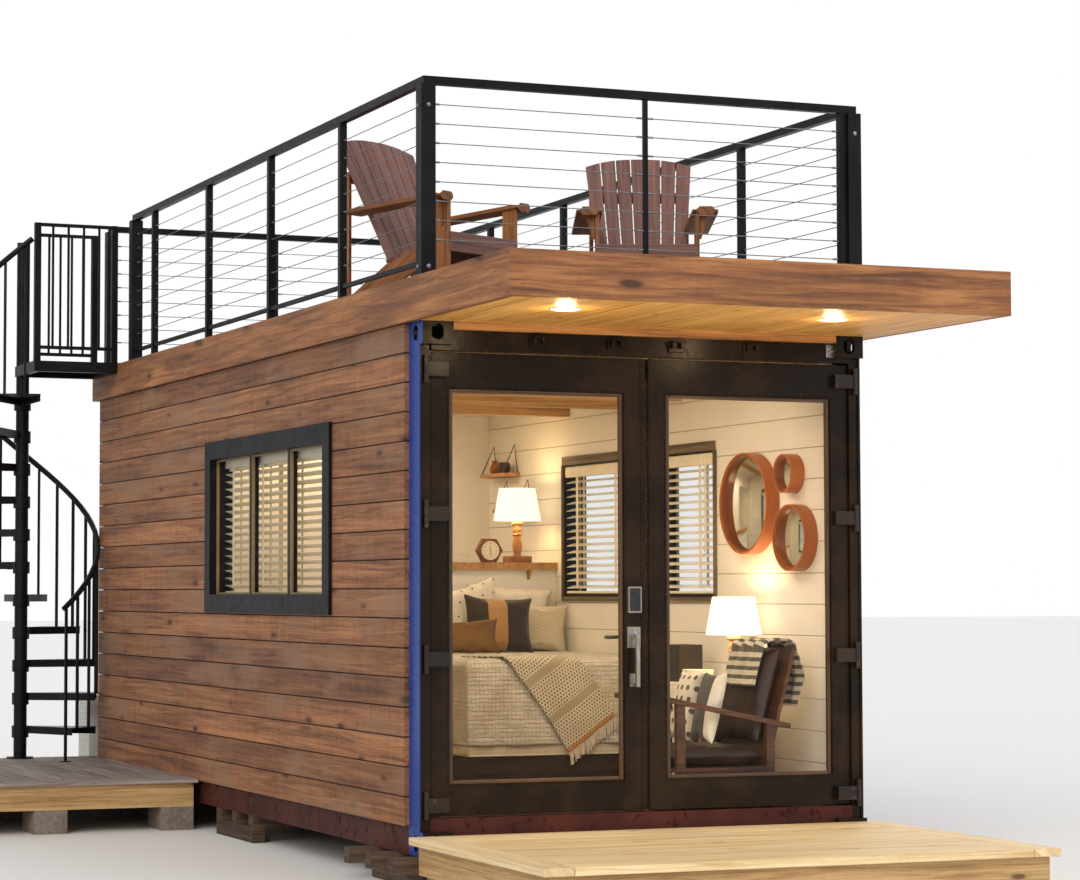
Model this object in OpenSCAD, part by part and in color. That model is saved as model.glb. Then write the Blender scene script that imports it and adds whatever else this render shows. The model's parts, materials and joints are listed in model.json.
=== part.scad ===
// A cabin made from a steel shipping container, with a roof deck, a spiral stair and two low decks.
// Local layout: x runs across the container, y runs back from its door end, z runs up from its underside.

/* [Container] */
// Length over the corner castings
box_l = 6058; // [5400:10:7200]
// Width over the corner castings
box_w = 2438; // [2200:2:2700]
// Height over the corner castings
box_h = 2591; // [2400:1:2900]
// Height of the container's underside above the ground
ground_gap = 155; // [120:5:300]
// Corner casting, across
cast_w = 162; // [140:1:190]
// Corner casting, lengthwise
cast_l = 178; // [150:1:200]
// Corner casting, height
cast_h = 118; // [100:1:140]
// Width of the front posts as seen from the door end
post_w = 60; // [50:1:80]
// Height of the sill under the doors
sill_h = 180; // [170:1:220]
// Height of the header over the doors
header_h = 144; // [130:1:190]
// Section of the top side rails
rail_s = 60; // [50:1:80]
// Height of the bottom side rails
base_rail_h = 160; // [130:1:165]
// Thickness of the steel panels
sheet_t = 3; // [2:0.5:6]
// Depth of the panel corrugation
corr_d = 36; // [25:1:45]

/* [Cladding] */
// Number of boards up each wall
board_n = 17; // [14:1:20]
// Gap between boards
board_gap = 4; // [2:0.5:8]
// Thickness of the boards
board_t = 25; // [15:1:30]
// Height at which the boards start
board_z0 = 135; // [110:1:155]
// Thickness of the inside wall linings
lining_t = 60; // [40:1:80]

/* [Roof] */
// Depth of the roof edge boards
fascia_h = 212; // [180:1:260]
// Thickness of the roof edge boards
fascia_t = 38; // [25:1:50]
// How far the canopy reaches out over the doors
canopy_l = 1200; // [900:10:1500]
// How far the roof edge stands out on the left
over_left = 50; // [45:1:80]
// How far the roof edge stands out on the right
over_right = 112; // [100:1:200]
// How far the roof edge stands out at the rear
over_rear = 135; // [110:1:250]
// Thickness of the deck boards on the roof
roof_deck_t = 25; // [20:1:38]
// Height of the railing above the roof deck
guard_h = 1000; // [900:10:1100]
// Number of railing cables
cable_n = 8; // [6:1:10]

/* [Doors] */
// Width of the stiles and the upright members
stile_w = 100; // [80:1:120]
// Height of the top rail of a door
door_top_h = 176; // [120:1:220]
// Height of the bottom rail of a door
door_bottom_h = 150; // [120:1:220]
// Thickness of a door
door_t = 50; // [45:1:60]
// Distance from the front plane back to the door face
door_set = 62; // [58:1:70]
// Angle to which each door swings out

/* [Window] */
// Distance from the front plane to the window casing
win_y0 = 1245; // [1100:5:1600]
// Width over the casing
win_l = 2258; // [1500:2:2600]
// Drop of the casing's upper edge below the container's top
win_drop = 428; // [300:1:600]
// Height over the casing
win_h = 1013; // [700:1:1150]
// Width of the casing
casing_w = 107; // [60:1:130]
// How much further back the right window sits than the left one
window_step = 140; // [0:5:180]

/* [Room] */
// Distance from the front plane to the rear partition
partition_y = 4800; // [4600:10:5200]
// Distance from the front plane to the low wall behind the bed
headboard_y = 3700; // [3700:5:3760]
// Height of the low wall behind the bed, above the room floor
headboard_h = 1231; // [1000:1:1300]
// Width of the bed
bed_w = 1370; // [900:10:1400]
// Length of the bed
bed_l = 1890; // [1850:5:1950]
// Height of the bed above the room floor
bed_h = 705; // [500:5:760]
// Length of the dresser
dresser_l = 850; // [700:10:900]
// Height of the dresser
dresser_h = 592; // [500:2:700]
// Width of the lounge chair
lounge_w = 600; // [560:5:620]
// Width of a roof chair over its arms
deck_chair_w = 770; // [700:10:820]

/* [Stair] */
// Radius of the stair
stair_r = 533; // [500:1:540]
// Radius of the centre pole
pole_r = 44; // [38:1:57]
// Number of treads
tread_n = 11; // [9:1:12]
// Turn from one tread to the next
tread_turn = 30; // [25:1:30]

/* [Decks] */
// Side deck, distance across
side_deck_w = 1800; // [1400:10:2400]
// Side deck, distance lengthwise
side_deck_l = 2500; // [2450:10:2800]
// Reach of the side deck past the container's rear end
side_past = 92; // [0:1:400]
// Top of the side deck above the container's underside
side_deck_z = 150; // [140:1:180]
// Front deck, distance across
front_deck_w = 2580; // [2000:10:3000]
// Front deck, distance lengthwise
front_deck_l = 1620; // [1200:10:2000]
// Top of the front deck above the container's underside
front_deck_z = 100; // [80:1:150]

/* [Hidden] */
// Overrun of every cut past the face that it opens
over = 2;
// Clearance between pieces that are put in from outside
fit = 0.3;

// Container details
cast_wall = 28;
cast_hole_w = 63;
cast_hole_h = 79;
post_front = 45;
post_d = 105;
post_web = 12;
post_web_front = 36;
rear_post = 96;
base_rail_w = 48;
member_w = 45;
member_gap = 400;
floor_t = 28;
header_set = 30;
header_t = 100;
sill_set = 45;
sill_t = 110;
corr_pitch = 278;
corr_flat_share = 0.26;
corr_slope_share = 0.24;
roof_corr_d = 16;

// Rooms
roof_void = 141;
ceiling_t = 20;
beam_w = 90;
beam_t = 75;
beam_n = 5;
beam_y0 = 350;
beam_pitch = 790;
partition_t = 90;
doorway_in = 60;
doorway_w = 720;
doorway_head = 240;
headboard_t = 115;
headboard_side = 40;
ledge_t = 45;
ledge_over = 40;

// Bed
bed_gap = 5;
bed_board_t = 30;
bed_base_h = 170;
bed_deck_t = 18;
throw_t = 12;
throw_l = 700;
throw_drop = 560;
throw_x_shares = [0.16, 0.65];
// Pillows on the bed: share across the bed, width, height, thickness and row
bed_pillows = [[0.03, 600, 420, 130, 0], [0.53, 600, 430, 130, 0], [0.04, 450, 330, 110, 1],
               [0.375, 430, 440, 110, 1], [0.702, 400, 320, 110, 1], [0.43, 470, 365, 110, 2],
               [0.18, 520, 215, 110, 3]];
row_gap = 30;

// Shelves, ornaments, lamps and mirrors
hang_l = 400;
hang_d = 120;
hang_t = 22;
hang_y = [4270, 4050];
hang_drop = [420, 660];
book_w = 190;
book_d = 130;
book_h = 50;
book_x_share = 0.485;
clock_r = 88;
clock_t = 50;
clock_x_share = 0.687;
lamp_foot_s = 145;
lamp_foot_h = 42;
lamp_body_r = 30;
lamp_body_h = 225;
shade_r0 = 150;
shade_r1 = 115;
shade_h = 205;
ledge_lamp_share = 0.83;
dresser_lamp_y = 885;
lamp_neck_r = 7;
lamp_bar = 6;
shade_t = 3;
case_w = 150;
case_l = 220;
case_h = 205;
case_y = 1400;
mirror_d = 80;
mirror_rim = 12;
mirror_back = 50;
// Mirrors: distance from the front plane, drop of the centre below the ceiling and radius
mirrors = [[1000, 698, 277], [548, 552, 104], [486, 894, 177]];

// Dresser
dresser_d = 395;
dresser_y0 = 800;
dresser_n = 2;
dresser_panel_t = 20;
dresser_drawer_h = 90;
dresser_foot_h = 70;

// Lounge chair, in its own place facing the front
lounge_inset = 678;
lounge_y = 460;
lounge_front = 380;
lounge_board = 34;
lounge_panel_t = 20;
lounge_seat_z = 200;
lounge_arm_h = 563;
lounge_arm_l = 700;
lounge_arm_fall = 145;
lounge_arm_w = 60;
lounge_arm_t = 26;
lounge_leg_w = 46;
lounge_leg_in = 60;
lounge_lean = 15;
lounge_seat_t = 110;
lounge_back_t = 110;
lounge_back_h = 490;
lounge_back_y = 189;
lounge_rail_h = 60;
lounge_pillow_h = 380;
lounge_pillow_t = 100;
blanket_t = 30;
blanket_w = 300;
blanket_front = 150;
blanket_back = 230;

// Roof chairs, from their own middle, facing the front
chair_d = 760;
chair_arm_h = 560;
chair_arm_w = 140;
chair_arm_l = 680;
chair_board = 22;
chair_seat_h = 370;
chair_seat_rear = 230;
chair_rail_h = 110;
chair_leg_w = 90;
chair_seat_w = 520;
chair_back_w = 600;
chair_back_foot_w = 480;
chair_back_l = 800;
chair_back_y = 60;
chair_lean = 26;
chair_post_w = 70;
chair_bar_z = 690;
chair_bar_h = 60;
chair_back_arch_share = 0.93;
// Roof chairs: distance across, distance lengthwise and turn
deck_chairs = [[570, 1360, 27], [1850, 1380, -22]];

// Doors
post_gap = 6;
centre_gap = 38;
door_gap = 8;
astragal_w = 26;
astragal_inset = 10;
glass_t = 12;
glass_back = 8;
hinge_n = 4;
hinge_low = 11;
hinge_high = 41;
pin_r = 7;
pin_x = 32;
pin_y = 27;
knuckle_r = 12;
knuckle_h = 90;
lug_h = 22;
lug_gap = 1;
arm_t = 14;
blade_l = 118;
blade_h = 70;
pad_x0 = 40;

// Lockset
lock_w = 72;
keypad_h = 130;
keypad_t = 26;
keypad_z = 1167;
plate_h = 104;
plate_z = 993;
plate_t = 10;
grip_h = 258;
grip_z = 800;
grip_s = 20;
grip_out = 60;
foot_h = 65;
foot_w = 45;
lever_l = 110;
lever_r = 9;

// Window details
casing_t = 45;
jamb_t = 25;
mullion_w = 40;
sash_d = 40;
win_glass_t = 8;
light_n = 3;
slat_w = 50;
slat_t = 3;
slat_pitch = 44;
slat_tilt = 20;
blind_head_h = 50;
blind_in = 12;
tape_w = 32;
tape_t = 2;
tape_shares = [0.08, 0.36, 0.64, 0.92];

// Roof details
joist_n = 7;
joist_w = 38;
soffit_t = 14;
soffit_drop = 6;
deck_drop = 12;
packer_w = 100;
packer_n = 4;
ledger_t = 38;
ledger_drop = 39;
lamp_r = 75;
lamp_t = 6;
lamp_y = 765;
lamp_x_shares = [0.18, 0.724];

// Railing
corner_s = 75;
post_s = 38;
slim_s = 22;
rail_top_s = 40;
rail_low_s = 22;
rail_low_z = 80;
rail_edge = 8;
base_plate_t = 6;
cable_r = 2.5;
cable_z0 = 200;
cable_pitch = 95;
bay_l = 1218;
twin_s = 40;
landing_gap_y = 640;

// Stair details
hub_r = 57;
hub_h = 80;
tread_t = 6;
lip_h = 50;
lip_t = 6;
lip_in = 1;
nose_turn = 3;
first_turn = -60;
rail_r = 19;
baluster_s = 16;
rail_over_tread = 860;
pole_plate_r = 90;
pole_plate_t = 12;
stair_gap = 13;
landing_frame_h = 65;
landing_frame_w = 40;
landing_lip = 6;
landing_guard_h = 920;
landing_post_s = 40;
landing_baluster_s = 14;
landing_baluster_n = 4;
pole_over_landing = 850;
helix_step = 8;
helix_sides = 8;
foot_r = 35;
foot_t = 8;

// Low decks
low_board_t = 25;
low_rim_h = 140;
low_rim_t = 38;
low_joist_gap = 406;
front_board_t = 38;
block_w = 200;
block_l = 300;
crib_s = 75;
crib_l = 700;
crib_out = 150;
deck_gap = 5;

// Outdoor unit
unit_w = 770;
unit_d = 290;
unit_h = 545;
unit_z = 20;
unit_out = 45;
unit_fan_r = 220;
unit_grille_t = 18;
unit_fan_share = 0.4;

// Derived places of the container
door_x0 = post_w + post_gap;
door_w = (box_w - 2 * door_x0 - centre_gap) / 2;
door_z0 = sill_h + door_gap;
door_z1 = box_h - header_h - door_gap;
door_h = door_z1 - door_z0;
pane_w = door_w - 2 * stile_w;
pane_h = door_h - door_top_h - door_bottom_h;
room_y0 = post_front + post_d;
room_y1 = box_l - corr_d - sheet_t - lining_t;
room_x0 = corr_d + sheet_t + lining_t;
wall_in = corr_d + sheet_t;
wall_y0 = cast_l;
wall_y1 = box_l - cast_l;
wall_z0 = base_rail_h;
wall_z1 = box_h - rail_s;
ceiling_z = box_h - roof_void;
board_z1 = box_h - soffit_drop;
board_pitch = (board_z1 - board_z0) / board_n;
board_h = board_pitch - board_gap;
siding_y0 = cast_l;
siding_y1 = box_l + board_t;

// Derived places in the room
room_x1 = box_w - room_x0;
bed_x1 = room_x1 - bed_gap;
bed_x0 = bed_x1 - bed_w;
bed_y1 = headboard_y - bed_gap;
bed_y0 = bed_y1 - bed_l;
bed_z = sill_h + bed_h;
ledge_z0 = sill_h + headboard_h;
ledge_z1 = ledge_z0 + ledge_t;
ledge_x0 = bed_x0 - headboard_side - ledge_over;
ledge_y = headboard_y + headboard_t / 2;
dresser_z1 = sill_h + dresser_h;
dresser_x0 = room_x1 - dresser_d;
dresser_y1 = dresser_y0 + dresser_l;
lounge_half = lounge_w / 2 - lounge_board;
lounge_x = box_w - lounge_inset;
lounge_clear = lounge_half - (lounge_arm_w - lounge_board) / 2;
lounge_cushion_z = lounge_seat_z + lounge_seat_t + fit;

// Derived places of the window
win_z0 = box_h - win_drop - win_h;
pane_y0 = win_y0 + casing_w;
pane_y1 = win_y0 + win_l - casing_w;
pane_z0 = win_z0 + casing_w;
pane_z1 = win_z0 + win_h - casing_w;
light_l = (pane_y1 - pane_y0 - (light_n - 1) * mullion_w) / light_n;

// Derived places of the roof
roof_x0 = -over_left;
roof_x1 = box_w + over_right;
roof_y0 = -canopy_l;
roof_y1 = box_l + over_rear;
soffit_z = box_h - soffit_drop;
soffit_top = soffit_z + soffit_t;
fascia_z1 = soffit_z + fascia_h;
deck_z = fascia_z1 - deck_drop;
joist_top = deck_z - roof_deck_t;
inner_x0 = roof_x0 + fascia_t;
inner_x1 = roof_x1 - fascia_t;
inner_y0 = roof_y0 + fascia_t;
inner_y1 = roof_y1 - fascia_t;

// Derived places of the railing
line_left = inner_x0 + corner_s / 2 + rail_edge;
line_right = box_w - corner_s / 2;
line_front = corner_s / 2;
line_rear = box_l - corner_s / 2;
gate_y = line_rear - landing_gap_y;
guard_z = deck_z + guard_h;

// Derived places of the stair
pole_x = -board_t - stair_gap - stair_r;
pole_y = box_l;
landing_z = fascia_z1;
rise = (landing_z + tread_t - side_deck_z) / (tread_n + 1);
last_turn = first_turn + tread_n * tread_turn;
rail_path_r = stair_r - rail_r;
landing_x0 = pole_x - pole_r;
landing_y1 = pole_y + pole_r;
landing_y0 = pole_y - rail_path_r - landing_post_s / 2;
landing_frame_x1 = roof_x0 - fit;

// Derived places of the decks
side_x1 = -board_t - deck_gap;
side_x0 = side_x1 - side_deck_w;
side_y1 = box_l + side_past;
side_deck_y0 = side_y1 - side_deck_l;
front_y1 = 0;
front_y0 = front_y1 - front_deck_l;
front_x0 = (box_w - front_deck_w) / 2;
unit_x0 = -board_t - unit_out;
unit_y0 = side_y1;

// The whole part stands on the ground with the middle of its plan at the origin
shift_x = -(side_x0 + roof_x1) / 2;
shift_y = -(front_y0 + pole_y + stair_r) / 2;
module at_site() {
  translate([shift_x, shift_y, ground_gap]) children();
}

// A box from one corner to the opposite one
module span(a, b) {
  translate(a) cube([b[0] - a[0], b[1] - a[1], b[2] - a[2]]);
}

// A copy on the other side of the container's middle
module mirrored() {
  translate([box_w, 0, 0]) mirror([1, 0, 0]) children();
}

module both_sides() {
  children();
  mirrored() children();
}

// A trapezoid profile that runs along y, with its ridges towards lower x
function corr_line(len, n, depth) = concat(
  [for (i = [0 : n - 1])
    for (k = [0 : 3])
      [(k < 2 ? 0 : depth),
       (i + [0, corr_flat_share, corr_flat_share + corr_slope_share,
             2 * corr_flat_share + corr_slope_share][k]) * len / n]],
  [[0, len]]);

module corrugated(len, height, depth) {
  n = max(2, floor(len / corr_pitch));
  line = corr_line(len, n, depth);
  back = [for (i = [len(line) - 1 : -1 : 0]) [line[i][0] + sheet_t, line[i][1]]];
  linear_extrude(height) polygon(concat(line, back));
}

// The hole that the window makes through a wall
module window_hole(x0, x1, grow) {
  span([x0 - over, pane_y0 - grow, pane_z0 - grow], [x1 + over, pane_y1 + grow, pane_z1 + grow]);
}

// An upright oblong hole along y
module oblong(depth) {
  r = cast_hole_w / 2;
  rise_z = (cast_hole_h - cast_hole_w) / 2;
  for (s = [-1, 1]) translate([0, 0, s * rise_z]) rotate([-90, 0, 0]) cylinder(r = r, h = depth, $fn = 24);
  span([-r, 0, -rise_z], [r, depth, rise_z]);
}

// A casting with its outer corner at the origin
module casting() {
  difference() {
    cube([cast_w, cast_l, cast_h]);
    span([cast_wall, cast_wall, cast_wall],
         [cast_w - cast_wall, cast_l - cast_wall, cast_h - cast_wall]);
    translate([cast_w / 2, -over, cast_h / 2]) oblong(cast_wall + 2 * over);
    translate([-over, cast_l / 2, cast_h / 2]) rotate([0, 0, -90]) oblong(cast_wall + 2 * over);
  }
}

module corner_castings() {
  color("#15130f") at_site() both_sides()
    for (z = [0, box_h - cast_h]) {
      translate([0, 0, z]) casting();
      translate([0, box_l, z]) mirror([0, 1, 0]) casting();
    }
}

module corner_posts() {
  color("#15130f") at_site() both_sides() {
    span([0, post_front, cast_h], [post_w, post_front + post_d, box_h - cast_h]);
    span([0, post_web_front, cast_h], [post_web, cast_l, box_h - cast_h]);
    span([0, box_l - rear_post, cast_h], [rear_post, box_l, box_h - cast_h]);
    span([0, box_l - cast_l, cast_h], [post_web, box_l, box_h - cast_h]);
    span([0, box_l - post_web, cast_h], [cast_w, box_l, box_h - cast_h]);
  }
}

module base_frame() {
  n = floor((box_l - 2 * cast_l) / member_gap);
  step = (box_l - 2 * cast_l) / (n + 1);
  color("#3a1b17") at_site() {
    both_sides() span([0, cast_l, 0], [base_rail_w, box_l - cast_l, base_rail_h]);
    for (i = [1 : n])
      translate([base_rail_w, cast_l + i * step - member_w / 2, 0])
        cube([box_w - 2 * base_rail_w, member_w, sill_h - floor_t]);
    span([post_w + fit, sill_set, cast_h], [box_w - post_w - fit, sill_set + sill_t, sill_h]);
    span([cast_w, sill_set, 0], [box_w - cast_w, sill_set + sill_t, cast_h]);
    span([cast_w, box_l - rail_s, 0], [box_w - cast_w, box_l, base_rail_h]);
  }
}

module top_rails() {
  color("#15130f") at_site() {
    both_sides() span([0, cast_l, wall_z1], [rail_s, box_l - cast_l, box_h]);
    span([cast_w, box_l - cast_l, wall_z1], [box_w - cast_w, box_l, box_h]);
  }
}

module door_header() {
  color("#15130f") at_site() {
    span([post_w, header_set, box_h - header_h], [box_w - post_w, header_set + header_t, box_h - cast_h]);
    span([cast_w, header_set, box_h - cast_h], [box_w - cast_w, cast_l, box_h]);
  }
}

// What stands on both long sides, where the right window sits further back than the left one
module at_windows() {
  children();
  mirrored() translate([0, window_step, 0]) children();
}

module side_wall() {
  translate([0, wall_y0, wall_z0]) corrugated(wall_y1 - wall_y0, wall_z1 - wall_z0, corr_d);
}

module container_walls() {
  width = box_w - 2 * cast_w;
  color("#3a1b17") at_site() {
    difference() {
      both_sides() side_wall();
      at_windows() window_hole(0, wall_in, jamb_t);
    }
    translate([cast_w, box_l, wall_z0]) rotate([0, 0, -90]) corrugated(width, wall_z1 - wall_z0, corr_d);
  }
}

module container_roof() {
  width = box_w - 2 * rail_s;
  length = box_l - 2 * cast_l;
  color("#3a1b17") at_site()
    translate([rail_s, cast_l, box_h - soffit_drop])
      rotate([0, 90, 0]) corrugated(length, width, roof_corr_d);
}

// Floor, cut out round the rear posts
module room_floor() {
  color("#9a8468") at_site() difference() {
    span([base_rail_w, sill_set + sill_t, sill_h - floor_t], [box_w - base_rail_w, box_l - rail_s, sill_h]);
    both_sides() span([0, box_l - rear_post, 0], [rear_post, box_l, sill_h + over]);
  }
}

module wall_linings() {
  color("#e9e4d8") at_site() {
    difference() {
      both_sides() span([wall_in, room_y0, sill_h], [room_x0, room_y1, ceiling_z + ceiling_t]);
      at_windows() window_hole(wall_in, room_x0, jamb_t);
    }
    span([room_x0 + fit, room_y1, sill_h], [box_w - room_x0 - fit, room_y1 + lining_t, ceiling_z + ceiling_t]);
  }
}

module ceiling() {
  color("#ece8dd") at_site()
    span([room_x0, room_y0, ceiling_z], [box_w - room_x0, room_y1, ceiling_z + ceiling_t]);
}

module ceiling_beams() {
  color("#b8905e") at_site()
    for (i = [0 : beam_n - 1])
      translate([room_x0, beam_y0 + i * beam_pitch - beam_w / 2, ceiling_z - beam_t])
        cube([box_w - 2 * room_x0, beam_w, beam_t]);
}

module siding_stack(length) {
  for (i = [0 : board_n - 1])
    translate([-board_t, 0, board_z0 + i * board_pitch]) cube([board_t, length, board_h]);
}

module side_siding() {
  color("#8a4f28") at_site() difference() {
    both_sides() translate([0, siding_y0, 0]) siding_stack(siding_y1 - siding_y0);
    at_windows() span([-board_t - over, win_y0, win_z0], [over, win_y0 + win_l, win_z0 + win_h]);
  }
}

module rear_siding() {
  color("#8a4f28") at_site()
    translate([0, box_l, 0]) rotate([0, 0, -90]) siding_stack(box_w);
}

// Casing outside, jamb through the wall and the sash bars of one window
module window_frame() {
  difference() {
    span([-casing_t, win_y0, win_z0], [0, win_y0 + win_l, win_z0 + win_h]);
    window_hole(-casing_t, 0, 0);
  }
  difference() {
    window_hole(-over, room_x0 - over, jamb_t);
    window_hole(-over - over, room_x0 + over, 0);
  }
  for (i = [1 : light_n - 1])
    translate([0, pane_y0 + i * light_l + (i - 1) * mullion_w, pane_z0])
      cube([sash_d, mullion_w, pane_z1 - pane_z0]);
}

module window_frames() {
  color("#131313") at_site() at_windows() window_frame();
}

module window_glass() {
  color("#b9c4c9", 0.4) at_site() at_windows()
    for (i = [0 : light_n - 1])
      translate([(sash_d - win_glass_t) / 2, pane_y0 + i * (light_l + mullion_w) + fit / 2, pane_z0])
        cube([win_glass_t, light_l - fit, pane_z1 - pane_z0]);
}

// Headrail and slats between the jambs
module window_blind() {
  y0 = pane_y0 + blind_in;
  length = pane_y1 - pane_y0 - 2 * blind_in;
  n = floor((pane_z1 - pane_z0 - blind_head_h - slat_pitch) / slat_pitch);
  x = room_x0 - slat_w / 2;
  span([x - slat_w / 2, y0, pane_z1 - blind_head_h], [x + slat_w / 2, y0 + length, pane_z1]);
  for (i = [1 : n])
    translate([x, y0, pane_z1 - blind_head_h - i * slat_pitch]) rotate([0, slat_tilt, 0])
      translate([-slat_w / 2, 0, -slat_t / 2]) cube([slat_w, length, slat_t]);
  for (s = tape_shares) for (side = [-1, 1])
    translate([x + side * slat_w / 2 * cos(slat_tilt) - tape_t / 2, y0 + s * length - tape_w / 2,
               pane_z1 - blind_head_h - n * slat_pitch])
      cube([tape_t, tape_w, n * slat_pitch]);
}

module window_blinds() {
  color("#efe8d2") at_site() at_windows() window_blind();
}

module fascia() {
  color("#a5673a") at_site() {
    span([roof_x0, roof_y0, soffit_z], [inner_x0, roof_y1, fascia_z1]);
    span([inner_x1, roof_y0, soffit_z], [roof_x1, roof_y1, fascia_z1]);
    span([inner_x0, roof_y0, soffit_z], [inner_x1, inner_y0, fascia_z1]);
    span([inner_x0, inner_y1, soffit_z], [inner_x1, roof_y1, fascia_z1]);
  }
}

module roof_joists() {
  step = (inner_x1 - inner_x0 - joist_w) / (joist_n - 1);
  pack_step = (box_l - packer_w) / (packer_n - 1);
  color("#b08a5c") at_site() {
    for (i = [0 : joist_n - 1])
      translate([inner_x0 + i * step, inner_y0, soffit_top])
        cube([joist_w, inner_y1 - inner_y0, joist_top - soffit_top]);
    for (i = [0 : packer_n - 1])
      translate([0, i * pack_step, box_h]) cube([box_w, packer_w, soffit_top - box_h]);
  }
}

module roof_deck() {
  color("#8d7458") at_site() span([inner_x0, inner_y0, joist_top], [inner_x1, inner_y1, deck_z]);
}

module canopy_soffit() {
  color("#c98f4b") at_site() difference() {
    span([inner_x0, inner_y0, soffit_z], [inner_x1, inner_y1, soffit_top]);
    span([inner_x0 - over, 0, soffit_z - over], [box_w, box_l, soffit_top + over]);
    for (s = lamp_x_shares)
      translate([roof_x0 + s * (roof_x1 - roof_x0), -lamp_y, soffit_z - over])
        cylinder(r = lamp_r - lamp_t, h = soffit_t + 2 * over, $fn = 48);
  }
}

module ledger() {
  color("#b57c45") at_site()
    span([cast_w, header_set - ledger_t, soffit_z - ledger_drop], [box_w - cast_w, header_set, soffit_z]);
}

module downlights() {
  color("#fff3cf") at_site()
    for (s = lamp_x_shares)
      translate([roof_x0 + s * (roof_x1 - roof_x0), -lamp_y, soffit_z - lamp_t]) {
        cylinder(r = lamp_r, h = lamp_t, $fn = 48);
        cylinder(r = lamp_r - lamp_t - fit, h = lamp_t + soffit_t, $fn = 48);
      }
}

// One square post on its foot plate
module guard_post(x, y, s, plate) {
  translate([x - s / 2, y - s / 2, deck_z]) cube([s, s, guard_h - rail_top_s]);
  translate([x - plate / 2, y - plate / 2, deck_z]) cube([plate, plate, base_plate_t]);
}

// Places and widths of the posts along a side: equal bays from the front and one short bay at the end
function side_posts(end) = concat(
  [[line_front, corner_s]],
  [for (i = [1 : floor((end - line_front - corner_s) / bay_l)]) [line_front + i * bay_l, post_s]],
  [[end, corner_s]]);

left_posts = side_posts(gate_y);
right_posts = side_posts(line_rear);

module railing_posts() {
  color("#101114") at_site() {
    for (p = left_posts) guard_post(line_left, p[0], p[1], p[1] + 2 * rail_edge);
    for (p = right_posts) guard_post(line_right, p[0], p[1], corner_s);
    guard_post(line_right - corner_s / 2 - twin_s / 2, line_front, twin_s, twin_s);
    guard_post((line_left + line_right) / 2, line_front, slim_s, post_s);
    guard_post((line_left + line_right) / 2, line_rear, post_s, corner_s);
    guard_post(line_left, line_rear, corner_s, corner_s + rail_edge);
  }
}

module rail_run(x0, y0, x1, y1, z, s) {
  translate([min(x0, x1) - s / 2, min(y0, y1) - s / 2, z]) cube([abs(x1 - x0) + s, abs(y1 - y0) + s, s]);
}

module railing_rails() {
  z = guard_z - rail_top_s;
  color("#101114") at_site() {
    rail_run(line_left, line_front, line_right, line_front, z, rail_top_s);
    rail_run(line_left, line_front, line_left, gate_y, z, rail_top_s);
    rail_run(line_right, line_front, line_right, line_rear, z, rail_top_s);
    rail_run(line_left, line_rear, line_right, line_rear, z, rail_top_s);
    low_rails(line_left, left_posts);
    low_rails(line_right, right_posts);
  }
}

// Low rails between the posts of one side
module low_rails(x, posts) {
  z = deck_z + rail_low_z;
  for (i = [1 : len(posts) - 1])
    span([x - rail_low_s / 2, posts[i - 1][0] + posts[i - 1][1] / 2, z],
         [x + rail_low_s / 2, posts[i][0] - posts[i][1] / 2, z + rail_low_s]);
}

// A cable between two points at the same height
module cable(x0, y0, x1, y1, z) {
  length = norm([x1 - x0, y1 - y0]);
  translate([x0, y0, z]) rotate([0, 0, atan2(y1 - y0, x1 - x0)]) rotate([0, 90, 0])
    cylinder(r = cable_r, h = length, $fn = 6);
}

module side_cables(x, posts, z) {
  for (i = [1 : len(posts) - 1])
    cable(x, posts[i - 1][0] + posts[i - 1][1] / 2, x, posts[i][0] - posts[i][1] / 2, z);
}

module railing_cables() {
  mid = (line_left + line_right) / 2;
  left_in = line_left + corner_s / 2;
  right_in = line_right - corner_s / 2;
  color("#9aa0a6") at_site()
    for (k = [0 : cable_n - 1]) {
      z = deck_z + cable_z0 + k * cable_pitch;
      cable(left_in, line_front, mid - slim_s / 2, line_front, z);
      cable(mid + slim_s / 2, line_front, right_in - twin_s, line_front, z);
      cable(left_in, line_rear, mid - post_s / 2, line_rear, z);
      cable(mid + post_s / 2, line_rear, right_in, line_rear, z);
      side_cables(line_left, left_posts, z);
      side_cables(line_right, right_posts, z);
    }
}

module at_pole() {
  translate([pole_x, pole_y, 0]) children();
}

module stair_pole() {
  color("#0f1013") at_site() at_pole() translate([0, 0, side_deck_z]) {
    cylinder(r = pole_r, h = landing_z - side_deck_z + pole_over_landing, $fn = 48);
    cylinder(r = pole_plate_r, h = pole_plate_t, $fn = 48);
  }
}

function polar(r, a) = [r * cos(a), r * sin(a)];

// One tread: hub around the pole, plate, and a lip under each long edge
module tread() {
  inner_r = (pole_r + hub_r) / 2;
  lip_l = stair_r - lip_t - inner_r;
  rotate([0, 0, 180]) translate([0, 0, -hub_h]) difference() {
    cylinder(r = hub_r, h = hub_h, $fn = 48);
    translate([0, 0, -over]) cylinder(r = pole_r + fit, h = hub_h + 2 * over, $fn = 48);
  }
  translate([0, 0, -tread_t]) linear_extrude(tread_t)
    polygon([polar(inner_r, -nose_turn), polar(stair_r, -nose_turn), polar(stair_r, tread_turn / 3),
             polar(stair_r, 2 * tread_turn / 3), polar(stair_r, tread_turn), polar(inner_r, tread_turn)]);
  for (edge = [[-nose_turn, 0], [tread_turn, 1]])
    rotate([0, 0, edge[0]]) translate([inner_r, lip_in - edge[1] * (lip_t + 2 * lip_in), -lip_h])
      cube([lip_l, lip_t, lip_h - tread_t / 2]);
}

module stair_treads() {
  color("#0f1013") at_site() at_pole()
    for (i = [0 : tread_n - 1])
      translate([0, 0, side_deck_z + (i + 1) * rise]) rotate([0, 0, first_turn + i * tread_turn]) tread();
}

// Height of the handrail's middle at an angle around the pole
function rail_z(a) = side_deck_z + rise * ((a - first_turn) / tread_turn + 1) + rail_over_tread;

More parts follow.
